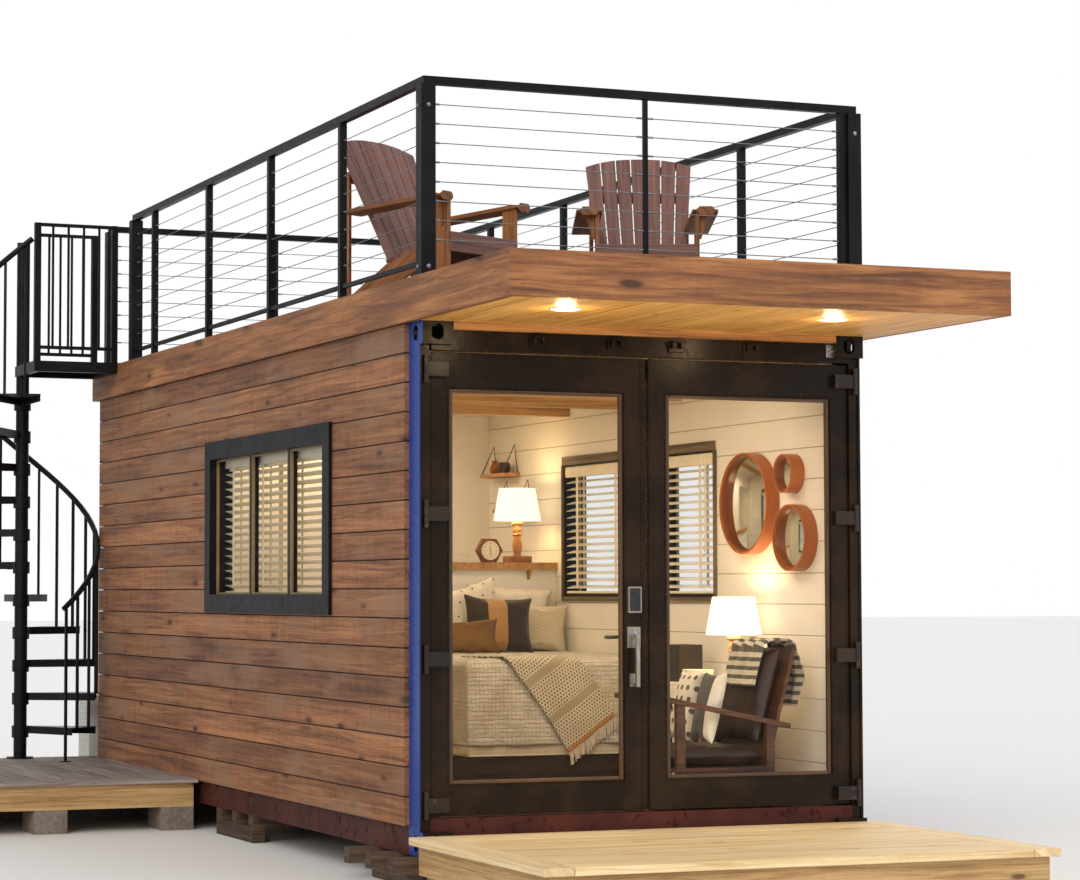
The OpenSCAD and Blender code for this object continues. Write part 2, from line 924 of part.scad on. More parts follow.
// Slope of the handrail
rail_slope = rise / (tread_turn * PI / 180 * rail_path_r);

// An upright whose top is cut to the slope of the handrail
module baluster(a, z0) {
  half = baluster_s / 2;
  top = rail_z(a) - rail_r * sqrt(1 + rail_slope * rail_slope) - fit;
  rotate([0, 0, a]) translate([rail_path_r - half, 0, 0]) rotate([90, 0, 90]) linear_extrude(baluster_s)
    polygon([[-half, z0], [half, z0], [half, top + half * rail_slope], [-half, top - half * rail_slope]]);
}

module stair_balusters() {
  foot_turn = first_turn - tread_turn / 4;
  color("#0f1013") at_site() at_pole() {
    for (i = [0 : tread_n - 1])
      for (k = [0, 1])
        baluster(first_turn + (i + k / 2 + 1 / 8) * tread_turn, side_deck_z + (i + 1) * rise);
    baluster(foot_turn, side_deck_z);
    rotate([0, 0, foot_turn]) translate([rail_path_r, 0, side_deck_z])
      cylinder(r = foot_r, h = foot_t, $fn = 32);
  }
}

// The handrail is a round tube that climbs with the treads
module stair_handrail() {
  tilt = atan(rail_slope);
  a0 = first_turn - tread_turn / 3;
  a1 = last_turn - asin((pole_r + rail_r * sin(tilt) + fit) / (rail_path_r - rail_r));
  n = round((a1 - a0) / helix_step);
  rings = [for (i = [0 : n])
    let (a = a0 + (a1 - a0) * i / n)
      [for (k = [0 : helix_sides - 1])
        let (t = 360 * k / helix_sides,
             side = rail_r * cos(t),
             up = rail_r * sin(t))
          [(rail_path_r + side) * cos(a) + up * sin(tilt) * sin(a),
           (rail_path_r + side) * sin(a) - up * sin(tilt) * cos(a),
           rail_z(a) + up * cos(tilt)]]];
  points = [for (ring = rings) for (p = ring) p];
  sides = [for (i = [0 : n - 1]) for (k = [0 : helix_sides - 1])
    let (j = (k + 1) % helix_sides, a = i * helix_sides, b = a + helix_sides)
      for (face = [[a + k, b + k, b + j], [a + k, b + j, a + j]]) face];
  ends = [[for (k = [0 : helix_sides - 1]) k],
          [for (k = [helix_sides - 1 : -1 : 0]) n * helix_sides + k]];
  color("#0f1013") at_site() at_pole() polyhedron(points = points, faces = concat(sides, ends), convexity = 8);
}

module landing() {
  color("#0f1013") at_site() difference() {
    union() {
      span([landing_x0, landing_y0, landing_z], [inner_x0, landing_y1, landing_z + landing_lip]);
      difference() {
        span([landing_x0, landing_y0, landing_z - landing_frame_h], [landing_frame_x1, landing_y1, landing_z]);
        span([landing_x0 + landing_frame_w, landing_y0 + landing_frame_w, landing_z - landing_frame_h - over],
             [landing_frame_x1 - landing_frame_w, landing_y1 - landing_frame_w, landing_z - fit]);
      }
    }
    translate([pole_x, pole_y, landing_z - landing_frame_h - over])
      cylinder(r = pole_r + fit, h = landing_frame_h + landing_lip + 2 * over, $fn = 48);
  }
}

// A guard panel that runs along x between two posts
module guard_panel(x0, x1, y) {
  z0 = landing_z + landing_lip;
  h = landing_guard_h;
  s = landing_post_s;
  b = landing_baluster_s;
  step = (x1 - x0 - s) / (landing_baluster_n + 1);
  for (x = [x0, x1 - s]) translate([x, y - s / 2, z0]) cube([s, s, h]);
  for (z = [z0 + rail_low_z, z0 + h - rail_low_s])
    translate([x0, y - rail_low_s / 2, z]) cube([x1 - x0, rail_low_s, rail_low_s]);
  for (i = [1 : landing_baluster_n])
    translate([x0 + s / 2 + i * step - b / 2, y - b / 2, z0 + rail_low_z]) cube([b, b, h - rail_low_z]);
}

module landing_guard() {
  color("#0f1013") at_site() {
    guard_panel(landing_x0, roof_x0 - fit, landing_y0 + landing_post_s / 2);
    guard_panel(pole_x + pole_r + landing_post_s, roof_x0 - fit, landing_y1 - landing_post_s / 2);
  }
}

// Places of the joists between two rims
function low_joists(x0, x1) =
  let (n = floor((x1 - x0) / low_joist_gap), step = (x1 - x0 - low_rim_t) / n)
    [for (i = [0 : n]) x0 + i * step];

// Rim and joists of a low deck
module low_frame(x0, y0, x1, y1, top) {
  for (x = low_joists(x0, x1))
    translate([x, y0, top - low_rim_h]) cube([low_rim_t, y1 - y0, low_rim_h]);
  for (y = [y0, y1 - low_rim_t])
    translate([x0, y, top - low_rim_h]) cube([x1 - x0, low_rim_t, low_rim_h]);
}

module side_deck_boards() {
  color("#9a8a76") at_site()
    span([side_x0, side_deck_y0, side_deck_z - low_board_t], [side_x1, side_y1, side_deck_z]);
}

module front_deck_boards() {
  color("#d8b987") at_site()
    span([front_x0, front_y0, front_deck_z - front_board_t],
         [front_x0 + front_deck_w, front_y1, front_deck_z]);
}

module low_deck_frames() {
  color("#c0a06c") at_site() {
    low_frame(side_x0 + low_board_t, side_deck_y0 + low_board_t, side_x1 - low_board_t, side_y1 - low_board_t,
              side_deck_z - low_board_t);
    low_frame(front_x0 + front_board_t, front_y0 + front_board_t, front_x0 + front_deck_w - front_board_t,
              front_y1 - front_board_t, front_deck_z - front_board_t);
  }
}

module block_at(x, y, top) {
  translate([x - block_w / 2, y - block_l / 2, -ground_gap]) cube([block_w, block_l, top + ground_gap]);
}

// Blocks under the first, middle and last joist of a low deck
module blocks_under(x0, x1, ys, top) {
  xs = low_joists(x0, x1);
  middle = xs[floor(len(xs) / 2)] + low_rim_t / 2;
  for (x = [xs[0] + block_w / 2, middle, xs[len(xs) - 1] + low_rim_t - block_w / 2])
    for (y = ys) block_at(x, y, top);
}

module deck_blocks() {
  color("#8b8177") at_site() {
    blocks_under(side_x0 + low_board_t, side_x1 - low_board_t,
                 [side_deck_y0 + low_board_t + block_l / 2, (side_deck_y0 + side_y1) / 2,
                  side_y1 - low_board_t - block_l / 2],
                 side_deck_z - low_board_t - low_rim_h);
    blocks_under(front_x0 + front_board_t, front_x0 + front_deck_w - front_board_t,
                 [front_y0 + block_l, front_y1 - block_l], front_deck_z - front_board_t - low_rim_h);
    for (x = [unit_x0 + block_w / 2, unit_x0 + unit_w - block_w / 2])
      block_at(x, unit_y0 + unit_d / 2, unit_z);
  }
}

// Two crossed layers of timbers under a corner
module crib(out) {
  half = ground_gap / 2;
  translate([-out, 0, -ground_gap]) {
    for (x = [out, crib_l - crib_s]) translate([x, 0, 0]) cube([crib_s, crib_l, half]);
    for (y = [0, (crib_l - crib_s) / 2, crib_l - crib_s]) translate([0, y, half]) cube([crib_l, crib_s, half]);
  }
}

module cribbing() {
  color("#6f6257") at_site() both_sides() {
    crib(crib_out);
    translate([0, (box_l - crib_l) / 2, 0]) crib(0);
    translate([0, box_l - crib_l, 0]) crib(0);
  }
}

function hinge_z(i) = door_z0 + hinge_low + i * (door_h - hinge_low - hinge_high - knuckle_h) / (hinge_n - 1);

// Lugs and pins of one side, fixed to the post
module lugs() {
  for (i = [0 : hinge_n - 1]) {
    z = hinge_z(i);
    for (dz = [-lug_gap - lug_h, knuckle_h + lug_gap])
      translate([pin_x, 0, z + dz]) {
        translate([0, pin_y, 0]) cylinder(r = knuckle_r, h = lug_h, $fn = 32);
        span([-knuckle_r, pin_y, 0], [knuckle_r, post_front, lug_h]);
      }
    translate([pin_x, pin_y, z - lug_gap - lug_h])
      cylinder(r = pin_r, h = knuckle_h + 2 * (lug_gap + lug_h), $fn = 32);
  }
}

module hinge_lugs() {
  color("#15130f") at_site() both_sides() lugs();
}

// Blades of one side, welded to the door
module blades() {
  for (i = [0 : hinge_n - 1])
    translate([pin_x, pin_y, hinge_z(i)]) difference() {
      union() {
        cylinder(r = knuckle_r, h = knuckle_h, $fn = 32);
        translate([0, 0, (knuckle_h - blade_h) / 2]) {
          span([0, knuckle_r - arm_t, 0], [blade_l, knuckle_r, blade_h]);
          span([pad_x0, knuckle_r, 0], [blade_l, door_set - pin_y, blade_h]);
        }
      }
      translate([0, 0, -over]) cylinder(r = pin_r + fit, h = knuckle_h + 2 * over, $fn = 32);
    }
}

module left_door_hinges() {
  color("#1c1914") at_site() blades();
}

module right_door_hinges() {
  color("#1c1914") at_site() mirrored() blades();
}

// Frame of one door, with its opening
module leaf() {
  translate([door_x0, door_set, door_z0]) difference() {
    cube([door_w, door_t, door_h]);
    translate([stile_w, -over, door_bottom_h]) cube([pane_w, door_t + 2 * over, pane_h]);
  }
}

module left_door() {
  color("#17150f") at_site() {
    leaf();
    span([door_x0 + door_w, door_set + astragal_inset, door_z0],
         [door_x0 + door_w + astragal_w, door_set + door_t - astragal_inset, door_z0 + door_h]);
  }
}

module right_door() {
  color("#17150f") at_site() mirrored() leaf();
}

module pane() {
  translate([door_x0 + stile_w, door_set + door_t - glass_back - glass_t, door_z0 + door_bottom_h])
    cube([pane_w, glass_t, pane_h]);
}

module left_door_glass() {
  color("#b9c4c9", 0.3) at_site() pane();
}

module right_door_glass() {
  color("#b9c4c9", 0.3) at_site() mirrored() pane();
}

// Keypad, handle and inside lever on the meeting stile
module left_door_lockset() {
  x = door_x0 + door_w - stile_w / 2;
  color("#b9b4a8") at_site() translate([x, door_set, 0]) {
    span([-lock_w / 2, -keypad_t, keypad_z], [lock_w / 2, 0, keypad_z + keypad_h]);
    span([-lock_w / 2, -plate_t, plate_z], [lock_w / 2, 0, plate_z + plate_h]);
    span([-grip_s / 2, -grip_out, grip_z], [grip_s / 2, -grip_out + grip_s, grip_z + grip_h]);
    for (z = [grip_z, grip_z + grip_h - grip_s])
      span([-grip_s / 2, -grip_out, z], [grip_s / 2, 0, z + grip_s]);
    span([-foot_w / 2, -plate_t, grip_z], [foot_w / 2, 0, grip_z + foot_h]);
    translate([0, door_t, plate_z + plate_h / 2]) {
      rotate([-90, 0, 0]) cylinder(r = foot_w / 2, h = plate_t, $fn = 32);
      rotate([-90, 0, 0]) cylinder(r = lever_r, h = grip_out, $fn = 24);
      translate([0, grip_out - lever_r, 0]) rotate([0, -90, 0]) cylinder(r = lever_r, h = lever_l, $fn = 24);
    }
  }
}

module outdoor_unit() {
  color("#cfd2cf") at_site() {
    span([unit_x0, unit_y0, unit_z], [unit_x0 + unit_w, unit_y0 + unit_d, unit_z + unit_h]);
    translate([unit_x0 + unit_w * unit_fan_share, unit_y0 + unit_d, unit_z + unit_h / 2]) rotate([-90, 0, 0])
      cylinder(r = unit_fan_r, h = unit_grille_t, $fn = 48);
  }
}

// Rear partition with its doorway
module room_partition() {
  color("#ece6d8") at_site() difference() {
    span([room_x0, partition_y, sill_h], [room_x1, partition_y + partition_t, ceiling_z]);
    span([room_x0 + doorway_in, partition_y - over, sill_h - over],
         [room_x0 + doorway_in + doorway_w, partition_y + partition_t + over, ceiling_z - doorway_head]);
  }
}

module headboard_wall() {
  color("#ece6d8") at_site()
    span([bed_x0 - headboard_side, headboard_y, sill_h], [room_x1, headboard_y + headboard_t, ledge_z0]);
}

// The ledge on the low wall, and two small hanging shelves on the right wall
module shelves() {
  color("#b98a52") at_site() {
    span([ledge_x0, headboard_y - ledge_over, ledge_z0],
         [room_x1, headboard_y + headboard_t + ledge_over, ledge_z1]);
    for (i = [0 : len(hang_y) - 1])
      span([room_x1 - hang_d, hang_y[i], ceiling_z - hang_drop[i]],
           [room_x1, hang_y[i] + hang_l, ceiling_z - hang_drop[i] + hang_t]);
  }
}

// Four boards on edge and a deck let in flush with their tops
module bed_base() {
  z1 = sill_h + bed_base_h;
  color("#33261c") at_site() difference() {
    span([bed_x0, bed_y0, sill_h], [bed_x1, bed_y1, z1]);
    span([bed_x0 + bed_board_t, bed_y0 + bed_board_t, sill_h - over],
         [bed_x1 - bed_board_t, bed_y1 - bed_board_t, z1 - bed_deck_t]);
  }
}

module mattress() {
  color("#efe9da") at_site() span([bed_x0, bed_y0, sill_h + bed_base_h], [bed_x1, bed_y1, bed_z]);
}

module pillow_on_bed(p) {
  y1 = bed_y1 - fit - p[4] * (bed_pillows[0][3] + row_gap);
  translate([bed_x0 + p[0] * bed_w, y1 - p[3], bed_z + fit]) cube([p[1], p[3], p[2]]);
}

module pillows() {
  color("#d8cbb0") at_site() {
    for (p = bed_pillows) pillow_on_bed(p);
    at_lounge() for (side = [-1, 0])
      translate([side * lounge_clear + fit,
                 lounge_back(lounge_cushion_z) - lounge_back_t - lounge_pillow_t - fit, lounge_cushion_z + fit])
        cube([lounge_clear - 2 * fit, lounge_pillow_t, lounge_pillow_h]);
  }
}

// A throw over the foot of the bed and a blanket over the back of the lounge chair
module throws() {
  x0 = bed_x0 + throw_x_shares[0] * bed_w;
  x1 = bed_x0 + throw_x_shares[1] * bed_w;
  color("#cfc3a3") at_site() {
    span([x0, bed_y0 - fit - throw_t, bed_z + fit], [x1, bed_y0 + throw_l, bed_z + fit + throw_t]);
    span([x0, bed_y0 - fit - throw_t, bed_z - throw_drop], [x1, bed_y0 - fit, bed_z + fit + throw_t]);
    at_lounge() translate([lounge_half - blanket_w, 0, 0]) lounge_blanket();
  }
}

module ornaments() {
  color("#8a6a4a") at_site() {
    translate([bed_x0 + book_x_share * bed_w, ledge_y - book_d / 2, ledge_z1]) cube([book_w, book_d, book_h]);
    translate([bed_x0 + clock_x_share * bed_w, ledge_y, ledge_z1 + clock_r * sin(60)])
      rotate([90, 0, 0]) translate([0, 0, -clock_t / 2]) cylinder(r = clock_r, h = clock_t, $fn = 6);
    translate([room_x1 - dresser_d / 2 - case_w / 2, case_y, dresser_z1]) cube([case_w, case_l, case_h]);
  }
}

// A lamp with a square foot, a turned body and an open shade on a crossbar
module table_lamp() {
  neck = lamp_foot_h + lamp_body_h;
  translate([-lamp_foot_s / 2, -lamp_foot_s / 2, 0]) cube([lamp_foot_s, lamp_foot_s, lamp_foot_h]);
  cylinder(r = lamp_body_r, h = neck, $fn = 32);
  cylinder(r = lamp_neck_r, h = neck + shade_h - lamp_bar / 2, $fn = 24);
  translate([-shade_r1 + shade_t / 2, -lamp_bar / 2, neck + shade_h - lamp_bar])
    cube([2 * shade_r1 - shade_t, lamp_bar, lamp_bar]);
  translate([0, 0, neck]) difference() {
    cylinder(r1 = shade_r0, r2 = shade_r1, h = shade_h, $fn = 48);
    translate([0, 0, -shade_t])
      cylinder(r1 = shade_r0, r2 = shade_r1 - shade_t, h = shade_h + 2 * shade_t, $fn = 48);
  }
}

module table_lamps() {
  color("#e8dcc0") at_site() {
    translate([bed_x0 + ledge_lamp_share * bed_w, ledge_y, ledge_z1]) table_lamp();
    translate([room_x1 - dresser_d / 2, dresser_lamp_y, dresser_z1]) table_lamp();
  }
}

// Round mirrors, each in a deep hoop on the right wall
module wall_mirrors() {
  color("#a4623a") at_site()
    for (m = mirrors)
      translate([room_x1, m[0], ceiling_z - m[1]]) rotate([0, -90, 0]) difference() {
        cylinder(r = m[2], h = mirror_d, $fn = 64);
        translate([0, 0, mirror_back]) cylinder(r = m[2] - mirror_rim, h = mirror_d, $fn = 64);
      }
}

// A low dresser with a row of drawers over open shelves
module dresser() {
  z0 = sill_h + dresser_foot_h;
  z1 = dresser_z1 - dresser_panel_t - dresser_drawer_h;
  step = (dresser_l - dresser_panel_t) / dresser_n;
  color("#eae4d4") at_site() {
    difference() {
      span([dresser_x0, dresser_y0, z0], [room_x1, dresser_y1, dresser_z1]);
      for (i = [0 : dresser_n - 1])
        translate([dresser_x0 - over, dresser_y0 + dresser_panel_t + i * step, z0 + dresser_panel_t])
          cube([dresser_d - dresser_panel_t + over, step - dresser_panel_t, z1 - z0 - dresser_panel_t]);
    }
    for (x = [dresser_x0, room_x1 - dresser_foot_h])
      for (y = [dresser_y0, dresser_y1 - dresser_foot_h])
        translate([x, y, sill_h]) cube([dresser_foot_h, dresser_foot_h, dresser_foot_h + dresser_panel_t / 2]);
  }
}

module at_lounge() {
  translate([lounge_x, lounge_y, sill_h]) rotate([0, 0, -90]) children();
}

// Distance back to the front face of the leaning panel at a height
function lounge_back(z) = lounge_back_y + (z - lounge_seat_z) * tan(lounge_lean);

// A profile in y and z, stretched across from x0 over a width
module across(x0, width, points) {
  translate([x0, 0, 0]) rotate([90, 0, 90]) linear_extrude(width) polygon(points);
}

module lounge_side() {
  slope = lounge_arm_fall / lounge_arm_l;
  y0 = lounge_leg_in - lounge_front;
  y1 = lounge_back_y;
  function arm_z(y) = lounge_arm_h - (y + lounge_front) * slope;
  for (y = [y0, y1])
    across(0, lounge_board, [[y, 0], [y + lounge_leg_w, 0],
      [y + lounge_leg_w, arm_z(y + lounge_leg_w) - lounge_arm_t / 2], [y, arm_z(y) - lounge_arm_t / 2]]);
  across(0, lounge_board,
    [[y0, lounge_seat_z - lounge_rail_h], [y1 + lounge_leg_w, lounge_seat_z - lounge_rail_h],
     [y1 + lounge_leg_w, lounge_seat_z], [y0, lounge_seat_z]]);
  across((lounge_board - lounge_arm_w) / 2, lounge_arm_w,
    [[-lounge_front, lounge_arm_h], [-lounge_front, lounge_arm_h - lounge_arm_t],
     [lounge_arm_l - lounge_front, arm_z(lounge_arm_l - lounge_front) - lounge_arm_t],
     [lounge_arm_l - lounge_front, arm_z(lounge_arm_l - lounge_front)]]);
}

module lounge_chair() {
  top = lounge_cushion_z + lounge_back_h;
  low = lounge_seat_z - lounge_panel_t / 2;
  inner = lounge_half + lounge_board / 2;
  color("#6e4426") at_site() at_lounge() {
    for (x = [-lounge_w / 2, lounge_w / 2 - lounge_board]) translate([x, 0, 0]) lounge_side();
    across(-inner, 2 * inner, [[lounge_leg_in - lounge_front, lounge_seat_z - lounge_panel_t],
      [lounge_back_y + lounge_leg_w / 2, lounge_seat_z - lounge_panel_t],
      [lounge_back_y + lounge_leg_w / 2, lounge_seat_z], [lounge_leg_in - lounge_front, lounge_seat_z]]);
    across(-inner, 2 * inner, [[lounge_back(low), low], [lounge_back(low) + lounge_panel_t, low],
      [lounge_back(top) + lounge_panel_t, top], [lounge_back(top), top]]);
  }
}

module lounge_cushions() {
  z = lounge_cushion_z + fit;
  top = lounge_cushion_z + lounge_back_h;
  color("#2c1d15") at_site() at_lounge() {
    across(-lounge_half + fit, 2 * (lounge_half - fit),
      [[lounge_leg_in - lounge_front, lounge_seat_z + fit], [lounge_back_y - fit, lounge_seat_z + fit],
       [lounge_back_y - fit, lounge_cushion_z], [lounge_leg_in - lounge_front, lounge_cushion_z]]);
    across(-lounge_clear + fit, 2 * (lounge_clear - fit),
      [[lounge_back(z) - lounge_back_t, z], [lounge_back(z) - fit, z],
       [lounge_back(top) - fit, top], [lounge_back(top) - lounge_back_t, top]]);
  }
}

// The blanket's section: down the front of the back cushion, over the top and down behind the panel
module lounge_blanket() {
  top = lounge_cushion_z + lounge_back_h;
  front = -lounge_back_t - fit;
  rear = lounge_panel_t + fit;
  across(0, blanket_w, [
    [lounge_back(top - blanket_front) + front - blanket_t, top - blanket_front],
    [lounge_back(top) + front - blanket_t, top + blanket_t],
    [lounge_back(top) + rear + blanket_t, top + blanket_t],
    [lounge_back(top - blanket_back) + rear + blanket_t, top - blanket_back],
    [lounge_back(top - blanket_back) + rear, top - blanket_back],
    [lounge_back(top) + rear, top + fit],
    [lounge_back(top) + front, top + fit],
    [lounge_back(top - blanket_front) + front, top - blanket_front]]);
}

// One roof chair in its own place facing the front
module roof_chair() {
  y0 = -chair_d / 2;
  bar_y = chair_back_y + (chair_bar_z - chair_seat_rear) * tan(chair_lean);
  inner = chair_seat_w / 2 + chair_board / 2;
  for (side = [-1, 1]) {
    translate([side * (chair_seat_w + chair_board) / 2 - chair_board / 2, 0, 0]) rotate([90, 0, 90])
      linear_extrude(chair_board) union() {
        translate([y0, 0]) square([chair_leg_w, chair_arm_h - chair_board / 2]);
        translate([bar_y, 0]) square([chair_post_w, chair_bar_z + chair_bar_h]);
        polygon([[y0, chair_seat_h], [y0, chair_seat_h - chair_rail_h], [-y0 - chair_post_w, 0],
                 [-y0 + chair_post_w, 0], [chair_back_y, chair_seat_rear]]);
      }
    translate([side * (deck_chair_w - chair_arm_w) / 2 - chair_arm_w / 2, y0 - chair_board,
               chair_arm_h - chair_board])
      cube([chair_arm_w, chair_arm_l, chair_board]);
  }
  across(-inner, 2 * inner,
    [[y0, chair_seat_h - chair_board], [y0, chair_seat_h],
     [chair_back_y + chair_board, chair_seat_rear + chair_board],
     [chair_back_y + chair_board, chair_seat_rear]]);
  across(-inner, 2 * inner, [[y0 - chair_board / 2, chair_seat_h - chair_rail_h],
    [y0 + chair_board / 2, chair_seat_h - chair_rail_h], [y0 + chair_board / 2, chair_seat_h],
    [y0 - chair_board / 2, chair_seat_h]]);
  across(-inner, 2 * inner, [[bar_y, chair_bar_z], [bar_y + chair_post_w / 2, chair_bar_z],
    [bar_y + chair_post_w / 2, chair_bar_z + chair_bar_h], [bar_y, chair_bar_z + chair_bar_h]]);
  translate([0, chair_back_y, chair_seat_rear]) rotate([90 - chair_lean, 0, 0])
    translate([0, 0, -chair_board]) linear_extrude(chair_board)
      polygon([[-chair_back_foot_w / 2, 0], [chair_back_foot_w / 2, 0],
               [chair_back_w / 2, chair_back_arch_share * chair_back_l], [0, chair_back_l],
               [-chair_back_w / 2, chair_back_arch_share * chair_back_l]]);
}

module roof_chairs() {
  color("#7a5348") at_site()
    for (c = deck_chairs) translate([c[0], c[1], deck_z]) rotate([0, 0, c[2]]) roof_chair();
}

cribbing();
base_frame();
corner_castings();
corner_posts();
top_rails();
door_header();
container_walls();
container_roof();
room_floor();
wall_linings();
ceiling();
ceiling_beams();
side_siding();
rear_siding();
window_frames();
window_glass();
window_blinds();
fascia();
roof_joists();
roof_deck();
canopy_soffit();
ledger();
downlights();
railing_posts();
railing_rails();
railing_cables();
stair_pole();
stair_treads();
stair_balusters();
stair_handrail();
landing();
landing_guard();
side_deck_boards();
front_deck_boards();
low_deck_frames();
deck_blocks();
hinge_lugs();
left_door();
left_door_glass();
left_door_hinges();
left_door_lockset();
right_door();
right_door_glass();
right_door_hinges();
outdoor_unit();
room_partition();
headboard_wall();
shelves();
bed_base();
mattress();
pillows();
throws();
ornaments();
table_lamps();
wall_mirrors();
dresser();
lounge_chair();
lounge_cushions();
roof_chairs();
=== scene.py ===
"""Looks of a container cabin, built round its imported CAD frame.

Lengths given as mm are in the container's own axes: x from its left side, y from the
face of its doors towards the rear and z from its underside.
"""

from __future__ import annotations

import json
import logging
import math
import random
from dataclasses import dataclass, field, replace
from enum import Enum
from typing import Callable, Sequence

import bpy
from mathutils import Matrix, Vector, noise

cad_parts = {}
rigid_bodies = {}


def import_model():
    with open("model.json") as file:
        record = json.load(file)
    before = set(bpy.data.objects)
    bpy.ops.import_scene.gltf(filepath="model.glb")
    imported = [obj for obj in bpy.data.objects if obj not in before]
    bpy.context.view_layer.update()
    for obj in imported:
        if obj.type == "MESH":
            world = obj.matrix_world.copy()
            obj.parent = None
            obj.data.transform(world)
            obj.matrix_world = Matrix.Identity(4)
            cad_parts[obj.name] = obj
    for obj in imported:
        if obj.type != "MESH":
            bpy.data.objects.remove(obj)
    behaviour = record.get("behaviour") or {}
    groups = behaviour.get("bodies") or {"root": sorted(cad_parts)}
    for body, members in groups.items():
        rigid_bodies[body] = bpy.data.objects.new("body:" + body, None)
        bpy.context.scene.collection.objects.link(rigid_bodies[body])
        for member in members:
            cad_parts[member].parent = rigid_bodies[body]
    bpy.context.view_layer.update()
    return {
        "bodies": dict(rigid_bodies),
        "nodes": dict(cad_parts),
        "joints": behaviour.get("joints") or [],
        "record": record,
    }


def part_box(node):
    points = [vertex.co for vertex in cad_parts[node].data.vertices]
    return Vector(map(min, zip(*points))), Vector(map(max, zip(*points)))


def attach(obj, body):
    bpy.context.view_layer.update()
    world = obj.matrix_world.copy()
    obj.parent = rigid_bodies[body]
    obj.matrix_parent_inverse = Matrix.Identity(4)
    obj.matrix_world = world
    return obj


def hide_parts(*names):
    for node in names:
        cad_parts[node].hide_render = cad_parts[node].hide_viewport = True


LOG = logging.getLogger("cabin")
Point = Sequence[float]
PHOTO_WIDTH = 1080
SENSOR = 36.0


def linear(code: str) -> tuple[float, float, float, float]:
    """Turn a written colour into scene values.

    Args:
        code: Six hexadecimal digits.

    Returns:
        Red, green, blue and a full alpha, in linear light.
    """
    parts = [int(code[i:i + 2], 16) / 255 for i in (0, 2, 4)]
    low = [p / 12.92 if p <= 0.04045 else ((p + 0.055) / 1.055) ** 2.4 for p in parts]
    return (low[0], low[1], low[2], 1.0)


class Axis(Enum):
    """An axis of the frame."""

    X = 0
    Y = 1
    Z = 2


class Body(Enum):
    """The bodies that pieces ride on."""

    ROOT = "root"
    LEFT = "left_leaf"
    RIGHT = "right_leaf"


# Shader maths


class Wire:
    """A value in a material that Python's operators work on."""

    def __init__(self, graph: "Graph", socket: bpy.types.NodeSocket) -> None:
        """Keep the graph and the socket that gives the value."""
        self.graph = graph
        self.socket = socket

    def maths(self, operation: str, *values: "Wire | float") -> "Wire":
        """Add one Math node.

        Args:
            operation: The node's operation.
            values: What its sockets take.

        Returns:
            The result.
        """
        return self.graph.node("ShaderNodeMath", {"operation": operation}, dict(enumerate(values)))

    def __add__(self, other: "Wire | float") -> "Wire":
        """Give self + other."""
        return self.maths("ADD", self, other)

    def __radd__(self, other: float) -> "Wire":
        """Give other + self."""
        return self.maths("ADD", other, self)

    def __sub__(self, other: "Wire | float") -> "Wire":
        """Give self - other."""
        return self.maths("SUBTRACT", self, other)

    def __rsub__(self, other: float) -> "Wire":
        """Give other - self."""
        return self.maths("SUBTRACT", other, self)

    def __mul__(self, other: "Wire | float") -> "Wire":
        """Give self * other."""
        return self.maths("MULTIPLY", self, other)

    def __rmul__(self, other: float) -> "Wire":
        """Give other * self."""
        return self.maths("MULTIPLY", other, self)

    def __truediv__(self, other: "Wire | float") -> "Wire":
        """Give self / other."""
        return self.maths("DIVIDE", self, other)

    def __pow__(self, other: float) -> "Wire":
        """Give self to a power."""
        return self.maths("POWER", self, other)

    def __gt__(self, other: "Wire | float") -> "Wire":
        """Give 1 where self is greater."""
        return self.maths("GREATER_THAN", self, other)

    def __lt__(self, other: "Wire | float") -> "Wire":
        """Give 1 where self is less."""
        return self.maths("LESS_THAN", self, other)

    def __abs__(self) -> "Wire":
        """Give the size of self."""
        return self.maths("ABSOLUTE", self)

    def floor(self) -> "Wire":
        """Give the whole number below self."""
        return self.maths("FLOOR", self)

    def part(self) -> "Wire":
        """Give what is past the whole number."""
        return self.maths("FRACT", self)

    def wave(self) -> "Wire":
        """Give the sine of self."""
        return self.maths("SINE", self)

    def greatest(self, other: "Wire | float") -> "Wire":
        """Give the greater of two."""
        return self.maths("MAXIMUM", self, other)

    def step(self, low: float, high: float) -> "Wire":
        """Rise smoothly from 0 at low to 1 at high.

        Args:
            low: Where it is 0.
            high: Where it is 1, above or below low.

        Returns:
            The rise.
        """
        up = low < high
        ends = (low, high, 0.0, 1.0) if up else (high, low, 1.0, 0.0)
        settings = {"interpolation_type": "SMOOTHSTEP"}
        return self.graph.node("ShaderNodeMapRange", settings,
                               {0: self, 1: ends[0], 2: ends[1], 3: ends[2], 4: ends[3]})


